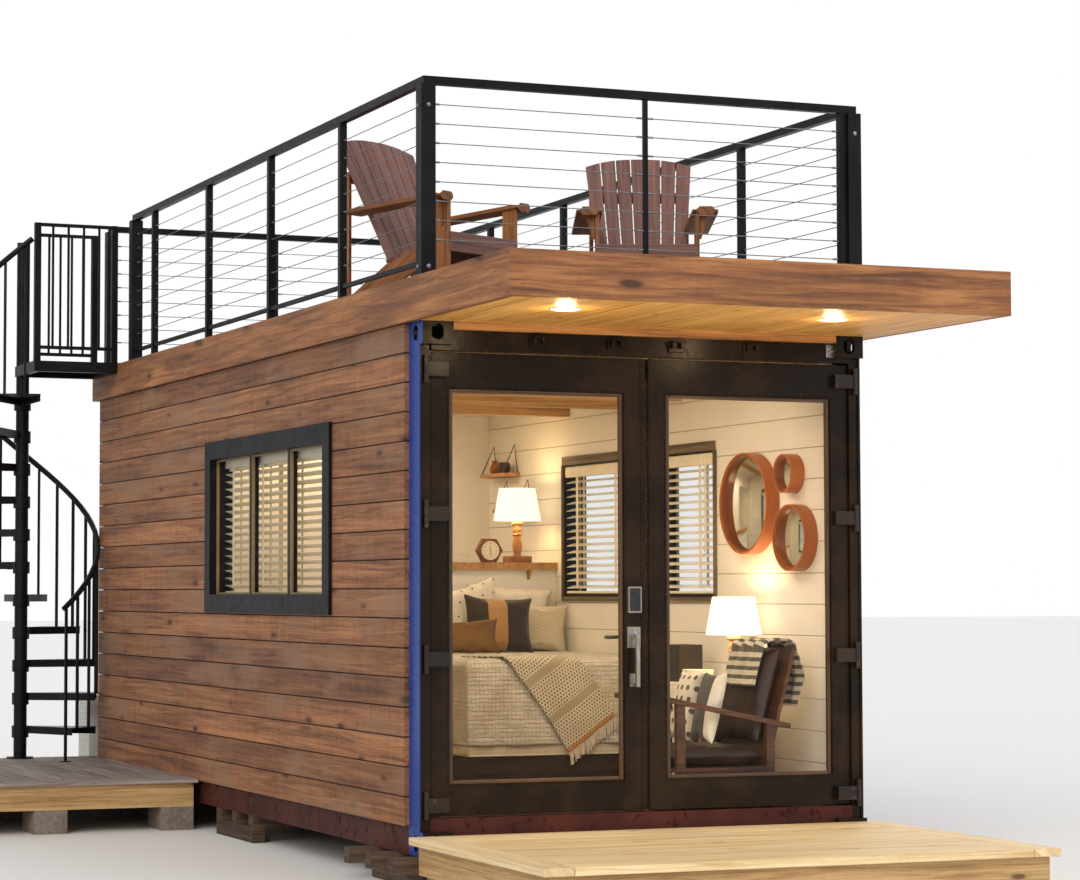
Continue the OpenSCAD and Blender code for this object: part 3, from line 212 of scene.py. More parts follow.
class Graph:
    """The nodes of one material."""

    def __init__(self, name: str) -> None:
        """Start an empty material of that name."""
        self.material = bpy.data.materials.new(name)
        self.material.use_nodes = True
        self.tree = self.material.node_tree
        self.tree.nodes.clear()

    def node(self, kind: str, settings: dict | None = None, inputs: dict | None = None,
             out: int | str = 0) -> Wire:
        """Add a node.

        Args:
            kind: Its type.
            settings: Its own settings, set first.
            inputs: Values or wires for its sockets, by name or number.
            out: Which output to give.

        Returns:
            That output.
        """
        made = self.tree.nodes.new(kind)
        for key, value in (settings or {}).items():
            if key == "stops":
                self._stops(made.color_ramp, value)
            else:
                setattr(made, key, value)
        for key, value in (inputs or {}).items():
            socket = made.inputs[key]
            if isinstance(value, Wire):
                self.tree.links.new(value.socket, socket)
            else:
                socket.default_value = value
        return Wire(self, made.outputs[out])

    @staticmethod
    def _stops(ramp: bpy.types.ColorRamp, stops: Sequence[tuple[float, str]]) -> None:
        """Set the colours of a ramp."""
        while len(ramp.elements) < len(stops):
            ramp.elements.new(0.5)
        for element, (place, code) in zip(ramp.elements, stops):
            element.position = place
            element.color = linear(code)

    def place(self) -> tuple[Wire, Wire, Wire]:
        """Give the object coordinates, one by one."""
        vector = self.node("ShaderNodeTexCoord", None, None, "Object")
        return self.split(vector)

    def chart(self, name: str = "grain") -> tuple[Wire, Wire]:
        """Give the two coordinates of a piece's own map."""
        vector = self.node("ShaderNodeUVMap", {"uv_map": name})
        along, across, _ = self.split(vector)
        return along, across

    def split(self, vector: Wire) -> tuple[Wire, Wire, Wire]:
        """Take a vector apart."""
        first = self.node("ShaderNodeSeparateXYZ", None, {0: vector})
        outs = first.socket.node.outputs
        return Wire(self, outs[0]), Wire(self, outs[1]), Wire(self, outs[2])

    def join(self, x: Wire | float, y: Wire | float, z: Wire | float = 0.0) -> Wire:
        """Put a vector together."""
        return self.node("ShaderNodeCombineXYZ", None, {0: x, 1: y, 2: z})

    def noise(self, vector: Wire, scale: float, detail: float = 4.0, rough: float = 0.55,
              bend: float = 0.0) -> Wire:
        """Give a soft noise from 0 to 1."""
        inputs = {"Vector": vector, "Scale": scale, "Detail": detail, "Roughness": rough,
                  "Distortion": bend}
        return self.node("ShaderNodeTexNoise", None, inputs)

    def cells(self, vector: Wire, scale: float, out: str = "Distance") -> Wire:
        """Give the distance to scattered points, or their colour."""
        return self.node("ShaderNodeTexVoronoi", None, {"Vector": vector, "Scale": scale}, out)

    def chance(self, value: Wire) -> Wire:
        """Give one random number for each whole value."""
        return self.node("ShaderNodeTexWhiteNoise", {"noise_dimensions": "1D"}, {"W": value})

    def ramp(self, value: Wire, stops: Sequence[tuple[float, str]]) -> Wire:
        """Give a colour for a value."""
        return self.node("ShaderNodeValToRGB", {"stops": stops}, {0: value})

    def mix(self, share: Wire | float, first: Wire | str, second: Wire | str,
            blend: str = "MIX") -> Wire:
        """Mix two colours."""
        ends = [linear(c) if isinstance(c, str) else c for c in (first, second)]
        settings = {"data_type": "RGBA", "blend_type": blend}
        return self.node("ShaderNodeMix", settings, {0: share, 6: ends[0], 7: ends[1]}, 2)

    def grey(self, value: Wire) -> Wire:
        """Turn a number into a grey of that strength."""
        return self.join(value, value, value)

    def bump(self, height: Wire, depth: float, strength: float = 1.0) -> Wire:
        """Give the normal of a height in metres times depth."""
        inputs = {"Height": height, "Distance": depth, "Strength": strength}
        return self.node("ShaderNodeBump", None, inputs)

    def surface(self, **inputs: Wire | float | tuple) -> bpy.types.Material:
        """Finish the material with one shader.

        Args:
            inputs: Socket names with underscores for spaces.

        Returns:
            The material.
        """
        named = {key.replace("_", " "): value for key, value in inputs.items()}
        shader = self.node("ShaderNodeBsdfPrincipled", None, named)
        return self.close(shader)

    def close(self, shader: Wire) -> bpy.types.Material:
        """Send a shader to the output and give the material."""
        output = self.tree.nodes.new("ShaderNodeOutputMaterial")
        self.tree.links.new(shader.socket, output.inputs[0])
        return self.material


# Finishes


@dataclass(frozen=True)
class Timber:
    """Sawn wood with grain, knots and a tone of its own for each board."""

    name: str
    light: str
    middle: str
    dark: str
    knot: str = "3a2012"
    along: Axis | None = None
    across: Axis = Axis.Z
    pitch: float = 0.0
    start: float = 0.0
    joint: float = 0.0
    tone: float = 0.35
    knots: float = 0.8
    rough: float = 0.62
    fine: float = 1.0
    depth: float = 0.0016
    wear: str = ""
    wrap: bool = False
    saw: float = 0.04

    def lines(self, g: Graph) -> tuple[Wire, Wire, Wire, Wire]:
        """Find where along and across its board a point is.

        Args:
            g: The material's graph.

        Returns:
            Along, across, the third way, and the board's number.
        """
        if self.along is None and not self.wrap:
            along, across = g.chart()
            board = (across + 0.5).floor()
            return along, across - board, along * 0.0, board
        axes = g.place()
        if self.wrap:
            normal = g.split(g.node("ShaderNodeNewGeometry", None, None, "Normal"))
            side = abs(normal[0]) > 0.7
            return (axes[1] * side + axes[0] * (1.0 - side) + side * 5.0, axes[2],
                    (axes[0] + axes[1]) * 0.0, side)
        along = axes[self.along.value]
        across = axes[self.across.value]
        third = axes[3 - self.along.value - self.across.value]
        board = ((across - self.start) / self.pitch).floor() if self.pitch else across * 0.0
        return along, across, third, board

    def make(self) -> bpy.types.Material:
        """Build the material."""
        g = Graph(self.name)
        along, across, third, board = self.lines(g)
        luck = g.chance(board + 3.7)
        luck2 = g.chance(board * 1.7 + 41.3)
        run = along + luck * 23.0
        sway = (g.noise(g.join(run * 1.3, across * 4.0, third * 4.0), 1.0, 2.0) - 0.5) * 0.03
        side = across + sway + luck2 * 9.0
        rings = g.noise(g.join(run * 1.3, side * 46.0 * self.fine, third * 46.0), 1.0, 6.0, 0.7, 0.7)
        streak = g.noise(g.join(run * 0.7, side * 8.0, third * 8.0 + luck), 1.0, 3.0)
        saw = g.noise(g.join(run * 30.0, side * 4.0, third * 4.0), 1.0, 4.0, 0.6)
        fibre = g.noise(g.join(run * 9.0, side * 330.0, third * 330.0), 1.0, 2.0)
        grain = rings * (0.64 - self.saw) + streak * 0.24 + saw * self.saw + fibre * 0.12
        colour = g.ramp(grain, [(0.40, self.dark), (0.5, self.middle), (0.60, self.light)])
        spots = g.cells(g.join(run * 2.1, side * 6.5, third * 0.5), 1.0)
        size = 0.075 * self.knots
        if self.knots:
            halo = spots.step(size * 3.4, size * 1.2) * 0.4
            colour = g.mix(halo, colour, self.dark)
            colour = g.mix(spots.step(size * 1.7, size * 1.0) * 0.85, colour, self.knot)
        tone = 1.0 - self.tone * 0.55 + luck * self.tone
        colour = g.mix(1.0, colour, g.grey(tone), "MULTIPLY")
        if self.wear:
            blot = g.noise(g.join(run * 1.1, across * 2.5, third * 2.5), 1.0, 4.0).step(0.48, 0.68)
            colour = g.mix(blot * 0.65, colour, self.wear)
        height = grain
        # Beside each joint the board is painted dark in the knot colour: the open gap between boards, with
        # painted shade on the eased edges next to it.
        if self.joint and self.pitch:
            place = ((across - self.start) / self.pitch).part()
            edge = (abs(place - 0.5)).step(0.5 - self.joint / self.pitch, 0.5)
            colour = g.mix(edge * 0.75, colour, self.knot)
            height = grain - edge * 2.0
        rough = self.rough + (streak - 0.5) * 0.25
        return g.surface(Base_Color=colour, Roughness=rough, Normal=g.bump(height, self.depth))


@dataclass(frozen=True)
class Paint:
    """Paint on steel, with dents, dust and rust where it is worn."""

    name: str
    colour: str
    patch: str
    rust: str = "4a2211"
    rust_share: float = 0.12
    rough: float = 0.34
    depth: float = 0.0012
    grain: float = 1.0
    shine: float = 0.22
    old: str = ""
    old_x: float = 0.0

    def make(self) -> bpy.types.Material:
        """Build the material."""
        g = Graph(self.name)
        vector = g.join(*g.place())
        broad = g.noise(vector, 3.1 * self.grain, 3.0)
        mottle = g.noise(vector, 26.0 * self.grain, 4.0, 0.6)
        fleck = g.noise(vector, 160.0, 2.0)
        drip = g.noise(g.join(*[axis * k for axis, k in zip(g.place(), (24.0, 24.0, 1.6))]), 1.0, 3.0)
        colour = g.mix(broad.step(0.4, 0.62), self.colour, self.patch)
        if self.old:
            colour = g.mix(g.place()[0].step(self.old_x + 0.0015, self.old_x + 0.004), self.old, colour)
        worn = (mottle * 0.6 + drip * 0.4).step(0.66 - self.rust_share * 0.5, 0.72 - self.rust_share * 0.3)
        colour = g.mix(worn * 0.8, colour, self.rust)
        rough = self.rough + worn * 0.4 + (mottle - 0.5) * 0.3
        height = broad * 2.0 + mottle * 0.5 + fleck * 0.12
        return g.surface(Base_Color=colour, Roughness=rough, Specular_IOR_Level=self.shine,
                         Normal=g.bump(height, self.depth))


@dataclass(frozen=True)
class Wallboard:
    """White painted boards, with the line between them where they show one."""

    name: str
    colour: str
    shade: str
    pitch: float = 0.0
    start: float = 0.0
    across: Axis = Axis.Z
    only: Axis | None = None
    rough: float = 0.55

    def make(self) -> bpy.types.Material:
        """Build the material."""
        g = Graph(self.name)
        axes = g.place()
        vector = g.join(*axes)
        soft = g.noise(vector, 2.3, 3.0)
        brush = g.noise(g.join(axes[0] * 2.0, axes[1] * 2.0, axes[2] * 60.0), 1.0, 2.0)
        colour = g.mix(soft.step(0.35, 0.75) * 0.5, self.colour, self.shade)
        height = brush * 0.2
        if self.pitch:
            place = ((axes[self.across.value] - self.start) / self.pitch).part()
            edge = abs(place - 0.5).step(0.5 - 0.0035 / self.pitch, 0.5)
            if self.only is not None:
                normal = g.split(g.node("ShaderNodeNewGeometry", None, None, "Normal"))
                edge = edge * (abs(normal[self.only.value]) > 0.7)
            colour = g.mix(edge * 0.55, colour, "6b5f4a")
            height = height - edge * 3.0
        return g.surface(Base_Color=colour, Roughness=self.rough + brush * 0.1,
                         Normal=g.bump(height, 0.0012))


@dataclass(frozen=True)
class Cloth:
    """Woven cloth with its threads, and a pattern by its own map where it has one."""

    name: str
    colour: str
    shade: str
    threads: float = 900.0
    depth: float = 0.0006
    rough: float = 0.9
    sheen: float = 0.25
    pattern: Callable[[Graph, Wire, Wire, Wire], Wire] | None = None
    charted: bool = True
    stitch: float = 0.0

    def make(self) -> bpy.types.Material:
        """Build the material."""
        g = Graph(self.name)
        axes = g.place()
        u, v = g.chart("cloth") if self.charted else (axes[0] + axes[1], axes[2] + axes[1] * 0.5)
        soft = g.noise(g.join(*axes), 9.0, 4.0)
        slub = g.noise(g.join(u * 30.0, v * 260.0), 1.0, 2.0)
        weave = (u * self.threads).wave() * (v * self.threads).wave()
        colour = g.mix(soft.step(0.3, 0.75) * 0.6 + slub * 0.2, self.colour, self.shade)
        if self.pattern:
            colour = self.pattern(g, u, v, colour)
        height = weave * 0.5 + slub * 0.6
        if self.stitch:
            crumple = g.noise(g.join(u * 14.0, v * 60.0), 1.0, 4.0, 0.6)
            wander = (crumple - 0.5) * 0.4
            row = abs((v / self.stitch + wander).part() - 0.5).step(0.36, 0.5)
            column = abs((u / self.stitch + wander).part() - 0.5).step(0.40, 0.5)
            seam = row.greatest(column * 0.8)
            # The sunk stitch lines and the low hollows of the crumple are painted darker: painted shade in the
            # quilt's seams and creases.
            colour = g.mix(seam * 0.2, colour, self.shade)
            colour = g.mix(crumple.step(0.55, 0.36) * 0.25, colour, self.shade)
            height = height - seam * 3.0 + crumple * 4.0
        return g.surface(Base_Color=colour, Roughness=self.rough, Sheen_Weight=self.sheen,
                         Sheen_Roughness=0.5, Normal=g.bump(height, self.depth))


@dataclass(frozen=True)
class Hide:
    """Dark leather with pebbled grain and paler worn places."""

    name: str
    colour: str
    worn: str

    def make(self) -> bpy.types.Material:
        """Build the material."""
        g = Graph(self.name)
        vector = g.join(*g.place())
        pebble = g.cells(vector, 420.0)
        crease = g.noise(vector, 38.0, 5.0, 0.6, 0.8)
        rub = g.noise(vector, 6.0, 3.0).step(0.45, 0.7)
        colour = g.mix(rub * 0.6, self.colour, self.worn)
        rough = 0.42 + crease * 0.2
        height = pebble * 0.35 + crease * 0.8
        return g.surface(Base_Color=colour, Roughness=rough, Normal=g.bump(height, 0.001))


@dataclass(frozen=True)
class Plain:
    """A small even surface with fine speckle, such as metal, plastic, paper or stone."""

    name: str
    colour: str
    shade: str
    scale: float = 60.0
    rough: float = 0.5
    metal: float = 0.0
    depth: float = 0.0004
    glow: float = 0.0
    glow_colour: str = "fff0d2"

    def make(self) -> bpy.types.Material:
        """Build the material."""
        g = Graph(self.name)
        vector = g.join(*g.place())
        speck = g.noise(vector, self.scale, 4.0, 0.6)
        broad = g.noise(vector, self.scale * 0.12, 2.0)
        colour = g.mix((speck * 0.6 + broad * 0.4).step(0.35, 0.65), self.colour, self.shade)
        rough = self.rough + (speck - 0.5) * 0.2
        inputs = {"Base_Color": colour, "Roughness": rough, "Metallic": self.metal,
                  "Normal": g.bump(speck, self.depth)}
        if self.glow:
            inputs["Emission_Color"] = linear(self.glow_colour)
            inputs["Emission_Strength"] = self.glow
        return g.surface(**inputs)


@dataclass(frozen=True)
class Pane:
    """Window glass with a trace of dust."""

    name: str
    tint: str = "2a3230"
    alpha: float = 0.04

    def make(self) -> bpy.types.Material:
        """Build the material."""
        g = Graph(self.name)
        vector = g.join(*g.place())
        dust = g.noise(vector, 5.0, 5.0).step(0.45, 0.8)
        return g.surface(Base_Color=linear(self.tint), Roughness=0.02 + dust * 0.06,
                         Alpha=self.alpha + dust * 0.015, IOR=1.5, Specular_IOR_Level=0.9)


# The bench


class Bench:
    """Mesh work with Blender's own operators, on lengths in the container's mm."""

    def __init__(self, corner: Vector) -> None:
        """Keep the frame's place of the container's lower left front corner."""
        self.corner = corner
        self.seeds = 0

    def at(self, x: float, y: float, z: float) -> Vector:
        """Give a place in the frame, in metres."""
        return Vector((x, y, z)) / 1000 + self.corner

    @staticmethod
    def only(*pieces: bpy.types.Object) -> None:
        """Select these pieces alone."""
        bpy.ops.object.select_all(action="DESELECT")
        for piece in pieces:
            piece.select_set(True)
        if pieces:
            bpy.context.view_layer.objects.active = pieces[0]

    def edit(self, piece: bpy.types.Object, *steps: Callable[[], object], pick: str = "SELECT") -> None:
        """Run edit mode operators on a piece.

        Args:
            piece: What is edited.
            steps: The operators, in order.
            pick: What select_all does first.
        """
        self.only(piece)
        bpy.ops.object.mode_set(mode="EDIT")
        if pick:
            bpy.ops.mesh.select_all(action=pick)
        for step in steps:
            step()
        bpy.ops.object.mode_set(mode="OBJECT")

    def finish(self, piece: bpy.types.Object, kind: str, **settings: object) -> bpy.types.Object:
        """Add a modifier and apply it.

        Args:
            piece: What gets it.
            kind: The modifier's type.
            settings: Its settings.

        Returns:
            The piece.
        """
        made = piece.modifiers.new(kind.lower(), kind)
        for key, value in settings.items():
            setattr(made, key, value)
        self.only(piece)
        bpy.ops.object.modifier_apply(modifier=made.name)
        return piece

    def grain(self, piece: bpy.types.Object, along: Vector) -> None:
        """Map a board, along its grain and across, in metres.

        Args:
            piece: The board.
            along: The way its grain runs.
        """
        self.seeds += 1
        seed = self.seeds % 97
        mesh = piece.data
        layer = mesh.uv_layers.get("grain") or mesh.uv_layers.new(name="grain")
        centre = sum((v.co for v in mesh.vertices), Vector()) / len(mesh.vertices)
        along = along.normalized()
        for face in mesh.polygons:
            side = along.cross(face.normal)
            if side.length < 0.4:
                side = along.orthogonal()
            side.normalize()
            for loop in face.loop_indices:
                place = mesh.vertices[mesh.loops[loop].vertex_index].co - centre
                layer.data[loop].uv = (place.dot(along) + seed * 7.31, place.dot(side) + seed)

    def block(self, low: Point, high: Point, bevel: float = 1.5, along: Axis | None = None,
              segments: int = 1) -> bpy.types.Object:
        """Make a squared piece with eased edges.

        Args:
            low: Its lowest corner, mm.
            high: Its highest corner, mm.
            bevel: How far its edges are eased, mm.
            along: The way its grain runs.
            segments: Faces across each eased edge.

        Returns:
            The piece.
        """
        a, b = self.at(*low), self.at(*high)
        bpy.ops.object.select_all(action="DESELECT")
        bpy.ops.mesh.primitive_cube_add(size=1, calc_uvs=False, location=(a + b) / 2, scale=b - a)
        piece = bpy.context.active_object
        bpy.ops.object.transform_apply(location=True, rotation=True, scale=True)
        if bevel:
            self.edit(piece, lambda: bpy.ops.mesh.bevel(
                offset=bevel / 1000, segments=segments, affect="EDGES", clamp_overlap=True))
        size = b - a
        ways = [size[i] for i in range(3)]
        way = along.value if along else ways.index(max(ways))
        self.grain(piece, Vector([1.0 if i == way else 0.0 for i in range(3)]))
        return piece

    def prism(self, points: Sequence[tuple[float, float]], x0: float, x1: float,
              bevel: float = 1.0, along: Vector = Vector((0, 0, 1))) -> bpy.types.Object:
        """Stretch an outline in y and z across x.

        Args:
            points: The outline, mm.
            x0: Where it starts.
            x1: Where it ends.
            bevel: How far its edges are eased, mm.
            along: The way its grain runs.

        Returns:
            The piece.
        """
        mesh = bpy.data.meshes.new("prism")
        mesh.from_pydata([self.at(x0, y, z) for y, z in points], [], [list(range(len(points)))])
        piece = bpy.data.objects.new("prism", mesh)
        bpy.context.scene.collection.objects.link(piece)
        shift = ((x1 - x0) / 1000, 0, 0)
        self.edit(piece,
                  lambda: bpy.ops.mesh.extrude_region_move(TRANSFORM_OT_translate={"value": shift}),
                  lambda: bpy.ops.mesh.select_all(action="SELECT"),
                  lambda: bpy.ops.mesh.normals_make_consistent(inside=False))
        if bevel:
            self.finish(piece, "BEVEL", width=bevel / 1000, segments=1, limit_method="ANGLE")
        self.grain(piece, along)
        return piece

    def lathe(self, centre: Point, profile: Sequence[tuple[float, float]], sides: int = 32,
              axis: Axis = Axis.Z, sign: int = 1) -> bpy.types.Object:
        """Spin a profile about an axis.

        Args:
            centre: The foot of the axis, mm.
            profile: Distance from the axis and height along it, mm.
            sides: Faces round it.
            axis: Which way the axis runs.
            sign: -1 where it runs down the axis.

        Returns:
            The piece.
        """
        mesh = bpy.data.meshes.new("lathe")
        ring = [Vector((max(r, 0.0) / 1000, 0, z / 1000)) for r, z in profile]
        mesh.from_pydata(ring, [(i, i + 1) for i in range(len(ring) - 1)], [])
        piece = bpy.data.objects.new("lathe", mesh)
        bpy.context.scene.collection.objects.link(piece)
        self.edit(piece,
                  lambda: bpy.ops.mesh.spin(steps=sides, angle=math.tau, center=(0, 0, 0), axis=(0, 0, 1)),
                  lambda: bpy.ops.mesh.select_all(action="SELECT"),
                  lambda: bpy.ops.mesh.remove_doubles(threshold=0.00005),
                  lambda: bpy.ops.mesh.normals_make_consistent(inside=False))
        turns = {Axis.Z: Matrix.Identity(4), Axis.X: Matrix.Rotation(math.pi / 2, 4, "Y"),
                 Axis.Y: Matrix.Rotation(-math.pi / 2, 4, "X")}
        flip = Matrix.Identity(4) if sign > 0 else Matrix.Rotation(math.pi, 4, "X")
        if axis is Axis.X and sign < 0:
            flip = Matrix.Rotation(math.pi, 4, "Y")
        piece.data.transform(Matrix.Translation(self.at(*centre)) @ turns[axis] @ flip)
        self.smooth(piece, 40)
        self.grain(piece, Vector([1.0 if i == axis.value else 0.0 for i in range(3)]))
        return piece

    def rod(self, points: Sequence[Point], radius: float, sides: int = 6,
            framed: bool = False) -> bpy.types.Object:
        """Draw a round bar through points.

        Args:
            points: Its middle line, mm, or metres in the frame if framed.
            radius: Its radius, mm.
            sides: Faces round it, even.
            framed: Whether the points are places in the frame.

        Returns:
            The piece.
        """
        curve = bpy.data.curves.new("rod", "CURVE")
        curve.dimensions = "3D"
        spline = curve.splines.new("POLY")
        spline.points.add(len(points) - 1)
        for spot, point in zip(spline.points, points):
            place = Vector(point) if framed else self.at(*point)
            spot.co = (*place, 1.0)
        curve.bevel_depth = radius / 1000
        curve.bevel_resolution = max(sides // 2 - 2, 0)
        curve.use_fill_caps = True
        piece = bpy.data.objects.new("rod", curve)
        bpy.context.scene.collection.objects.link(piece)
        self.only(piece)
        bpy.ops.object.convert(target="MESH")
        piece = bpy.context.active_object
        way = Vector(points[-1]) - Vector(points[0])
        self.grain(piece, way if way.length else Vector((0, 0, 1)))
        return piece

    def copy(self, piece: bpy.types.Object, shift: Point = (0, 0, 0),
             turn: float = 0.0, about: Point | None = None) -> bpy.types.Object:
        """Copy a piece with its own mesh.

        Args:
            piece: What is copied.
            shift: How far it moves, mm.
            turn: How far it turns about z, degrees.
            about: Where it turns, mm.

        Returns:
            The copy.
        """
        made = piece.copy()
        made.data = piece.data.copy()
        bpy.context.scene.collection.objects.link(made)
        move = Matrix.Translation(Vector(shift) / 1000)
        if turn:
            spot = Matrix.Translation(self.at(*about))
            move = move @ spot @ Matrix.Rotation(math.radians(turn), 4, "Z") @ spot.inverted()
        made.data.transform(move)
        return made

    def join(self, name: str, pieces: Sequence[bpy.types.Object], finish: bpy.types.Material | None = None,
             body: Body = Body.ROOT) -> bpy.types.Object:
        """Make one piece of several and let it ride.

        Args:
            name: Its name.
            pieces: What it is made of.
            finish: Its material, where its parts have none of their own.
            body: What it rides on.

        Returns:
            The piece.
        """
        if finish:
            for piece in pieces:
                piece.data.materials.clear()
                piece.data.materials.append(finish)
        self.only(*pieces)
        if len(pieces) > 1:
            bpy.ops.object.join()
        made = bpy.context.view_layer.objects.active
        made.name = name
        made.data.name = name
        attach(made, body.value)
        LOG.info("%s: %d faces, on %s", name, len(made.data.polygons), body.value)
        return made

    def smooth(self, piece: bpy.types.Object, angle: float = 35) -> bpy.types.Object:
        """Shade a piece smooth except at sharp edges."""
        self.only(piece)
        bpy.ops.object.shade_smooth_by_angle(angle=math.radians(angle))
        return piece

    def clad(self, node: bpy.types.Object, finish: bpy.types.Material) -> None:
        """Give a CAD node a finish on each of its slots."""
        if not node.material_slots:
            node.data.materials.append(finish)
        for slot in node.material_slots:
            slot.material = finish

    def islands(self, node: bpy.types.Object) -> list[tuple[Vector, Vector]]:
        """List the boxes of a CAD node's separate solids.

        Args:
            node: The node.

        Returns:
            The lowest and highest corner of each, in the frame.
        """
        spots: dict[tuple[int, int, int], int] = {}
        link: list[int] = []

        def root(i: int) -> int:
            """Follow the links of a corner."""
            while link[i] != i:
                link[i] = link[link[i]]
                i = link[i]
            return i

        ids = []
        for corner in node.data.vertices:
            key = tuple(round(c * 20000) for c in corner.co)
            if key not in spots:
                spots[key] = len(link)
                link.append(len(link))
            ids.append(spots[key])
        for face in node.data.polygons:
            first = root(ids[face.vertices[0]])
            for corner in face.vertices[1:]:
                link[root(ids[corner])] = first
        groups: dict[int, list[Vector]] = {}
        for corner, number in zip(node.data.vertices, ids):
            groups.setdefault(root(number), []).append(corner.co)
        return [(Vector([min(p[i] for p in g) for i in range(3)]),
                 Vector([max(p[i] for p in g) for i in range(3)]))
                for g in groups.values()]


# Sub-assemblies


@dataclass
class Palette:
    """Every finish, built once."""

    made: dict[str, bpy.types.Material] = field(default_factory=dict)

    def add(self, finish: Timber | Paint | Wallboard | Cloth | Hide | Plain | Pane) -> bpy.types.Material:
        """Build a finish, or give it where it is built."""
        if finish.name not in self.made:
            self.made[finish.name] = finish.make()
        return self.made[finish.name]


@dataclass
class Assembly:
    """What every sub-assembly has: the bench, the finishes and the CAD nodes."""

    bench: Bench
    palette: Palette
    nodes: dict[str, bpy.types.Object]

    def dress(self, finish: object, *names: str) -> None:
        """Give CAD nodes one finish."""
        for name in names:
            self.bench.clad(self.nodes[name], self.palette.add(finish))


PALE_PINE = Timber("pale_pine_boards", "f2dfb4", "e6cc9a", "cba873", "86592e", tone=0.16, knots=0.7,
                   rough=0.6)
GREY_PINE = Timber("weathered_pine_boards", "a0958e", "82766f", "5c504a", "3a2f2a", tone=0.3, knots=0.8,
                   rough=0.85)
ROOF_PINE = Timber("roof_boards", "96806a", "776352", "544437", "33281f", tone=0.3, knots=0.7, rough=0.85)
BLACK = Paint("black_steel_paint", "1c140c", "2b1f13", "4a2c14", 0.08, 0.26, shine=0.16)
HINGE = Paint("worn_hinge_paint", "1c140c", "2e2116", "6b4526", 0.16, 0.24, shine=0.4)
TUBE = Paint("black_tube_paint", "101012", "18181b", "2b1a12", 0.03, 0.4, 0.0005, shine=0.15)
DARK_FRAME = Paint("black_casing_paint", "141216", "1c1a1f", "2b2119", 0.02, 0.45, 0.0004, shine=0.14)
BRIGHT = Plain("bright_zinc", "a9abad", "7d7f80", 90.0, 0.32, 0.9)
WHITE_WALL = Wallboard("white_wall", "f0e9da", "e4dbc8")


@dataclass
class Shell(Assembly):
    """The container, its cladding and its roof edge."""

    board_pitch: float = 0.144118
    board_start: float = 0.290

    def build(self) -> None:
        """Dress the shell's CAD nodes."""
        # The joint width is the dark band painted at each board's edge: the gap and painted shade beside it.
        cedar = {"light": "a8744b", "middle": "875838", "dark": "5a3720", "knot": "3a1d0f", "joint": 0.0045,
                 "saw": 0.12}
        pitch, start = self.board_pitch, self.board_start
        self.dress(Timber("side_cedar", **cedar, along=Axis.Y, across=Axis.Z, pitch=pitch, start=start,
                          tone=0.55, knots=0.9, rough=0.7, depth=0.003, wear="8f6f55"), "side_siding")
        self.dress(Timber("rear_cedar", **cedar, along=Axis.X, across=Axis.Z, pitch=pitch, start=start,
                          tone=0.55, knots=0.9, rough=0.7, depth=0.003, wear="8f6f55"), "rear_siding")
        self.dress(Timber("fascia_cedar", "b27a47", "8e5a32", "5c371c", "35190b", wrap=True, tone=0.1,
                          knots=1.5, rough=0.62, fine=0.6, depth=0.004, wear="6f4426"), "fascia")
        self.dress(Timber("soffit_boards", "e4b66b", "d19c4e", "a87332", "6b431c", along=Axis.Y,
                          across=Axis.X, pitch=0.14, start=0.02, joint=0.003, tone=0.16, knots=0.6,
                          rough=0.5), "canopy_soffit")
        self.dress(Timber("ledger_cedar", "d39c58", "b37a3f", "7d4e26", along=Axis.X, pitch=0.3,
                          tone=0.05, knots=0.5), "ledger")
        self.dress(Timber("joist_pine", "cfae7c", "b6925f", "8d6a40", "5c3f22", wrap=True, tone=0.2),
                   "roof_joists", "low_deck_frames")
        self.dress(Timber("crib_timber", "6a5544", "4c3b2f", "2f241d", "1b130e", wrap=True, tone=0.3,
                          rough=0.9), "cribbing")
        self.dress(BLACK, "top_rails", "door_header")
        self.dress(replace(BLACK, name="black_over_blue_paint", old="21418c",
                           old_x=self.bench.at(0, 0, 0).x),
                   "corner_posts", "corner_castings")
        self.dress(HINGE, "hinge_lugs")
        self.dress(Paint("red_brown_primer", "3f1c17", "4d241c", "2a120d", 0.25, 0.55), "base_frame",
                   "container_walls", "container_roof")
        self.dress(Plain("rough_pavers", "8a7d74", "6d625b", 40.0, 0.95, 0.0, 0.003), "deck_blocks")


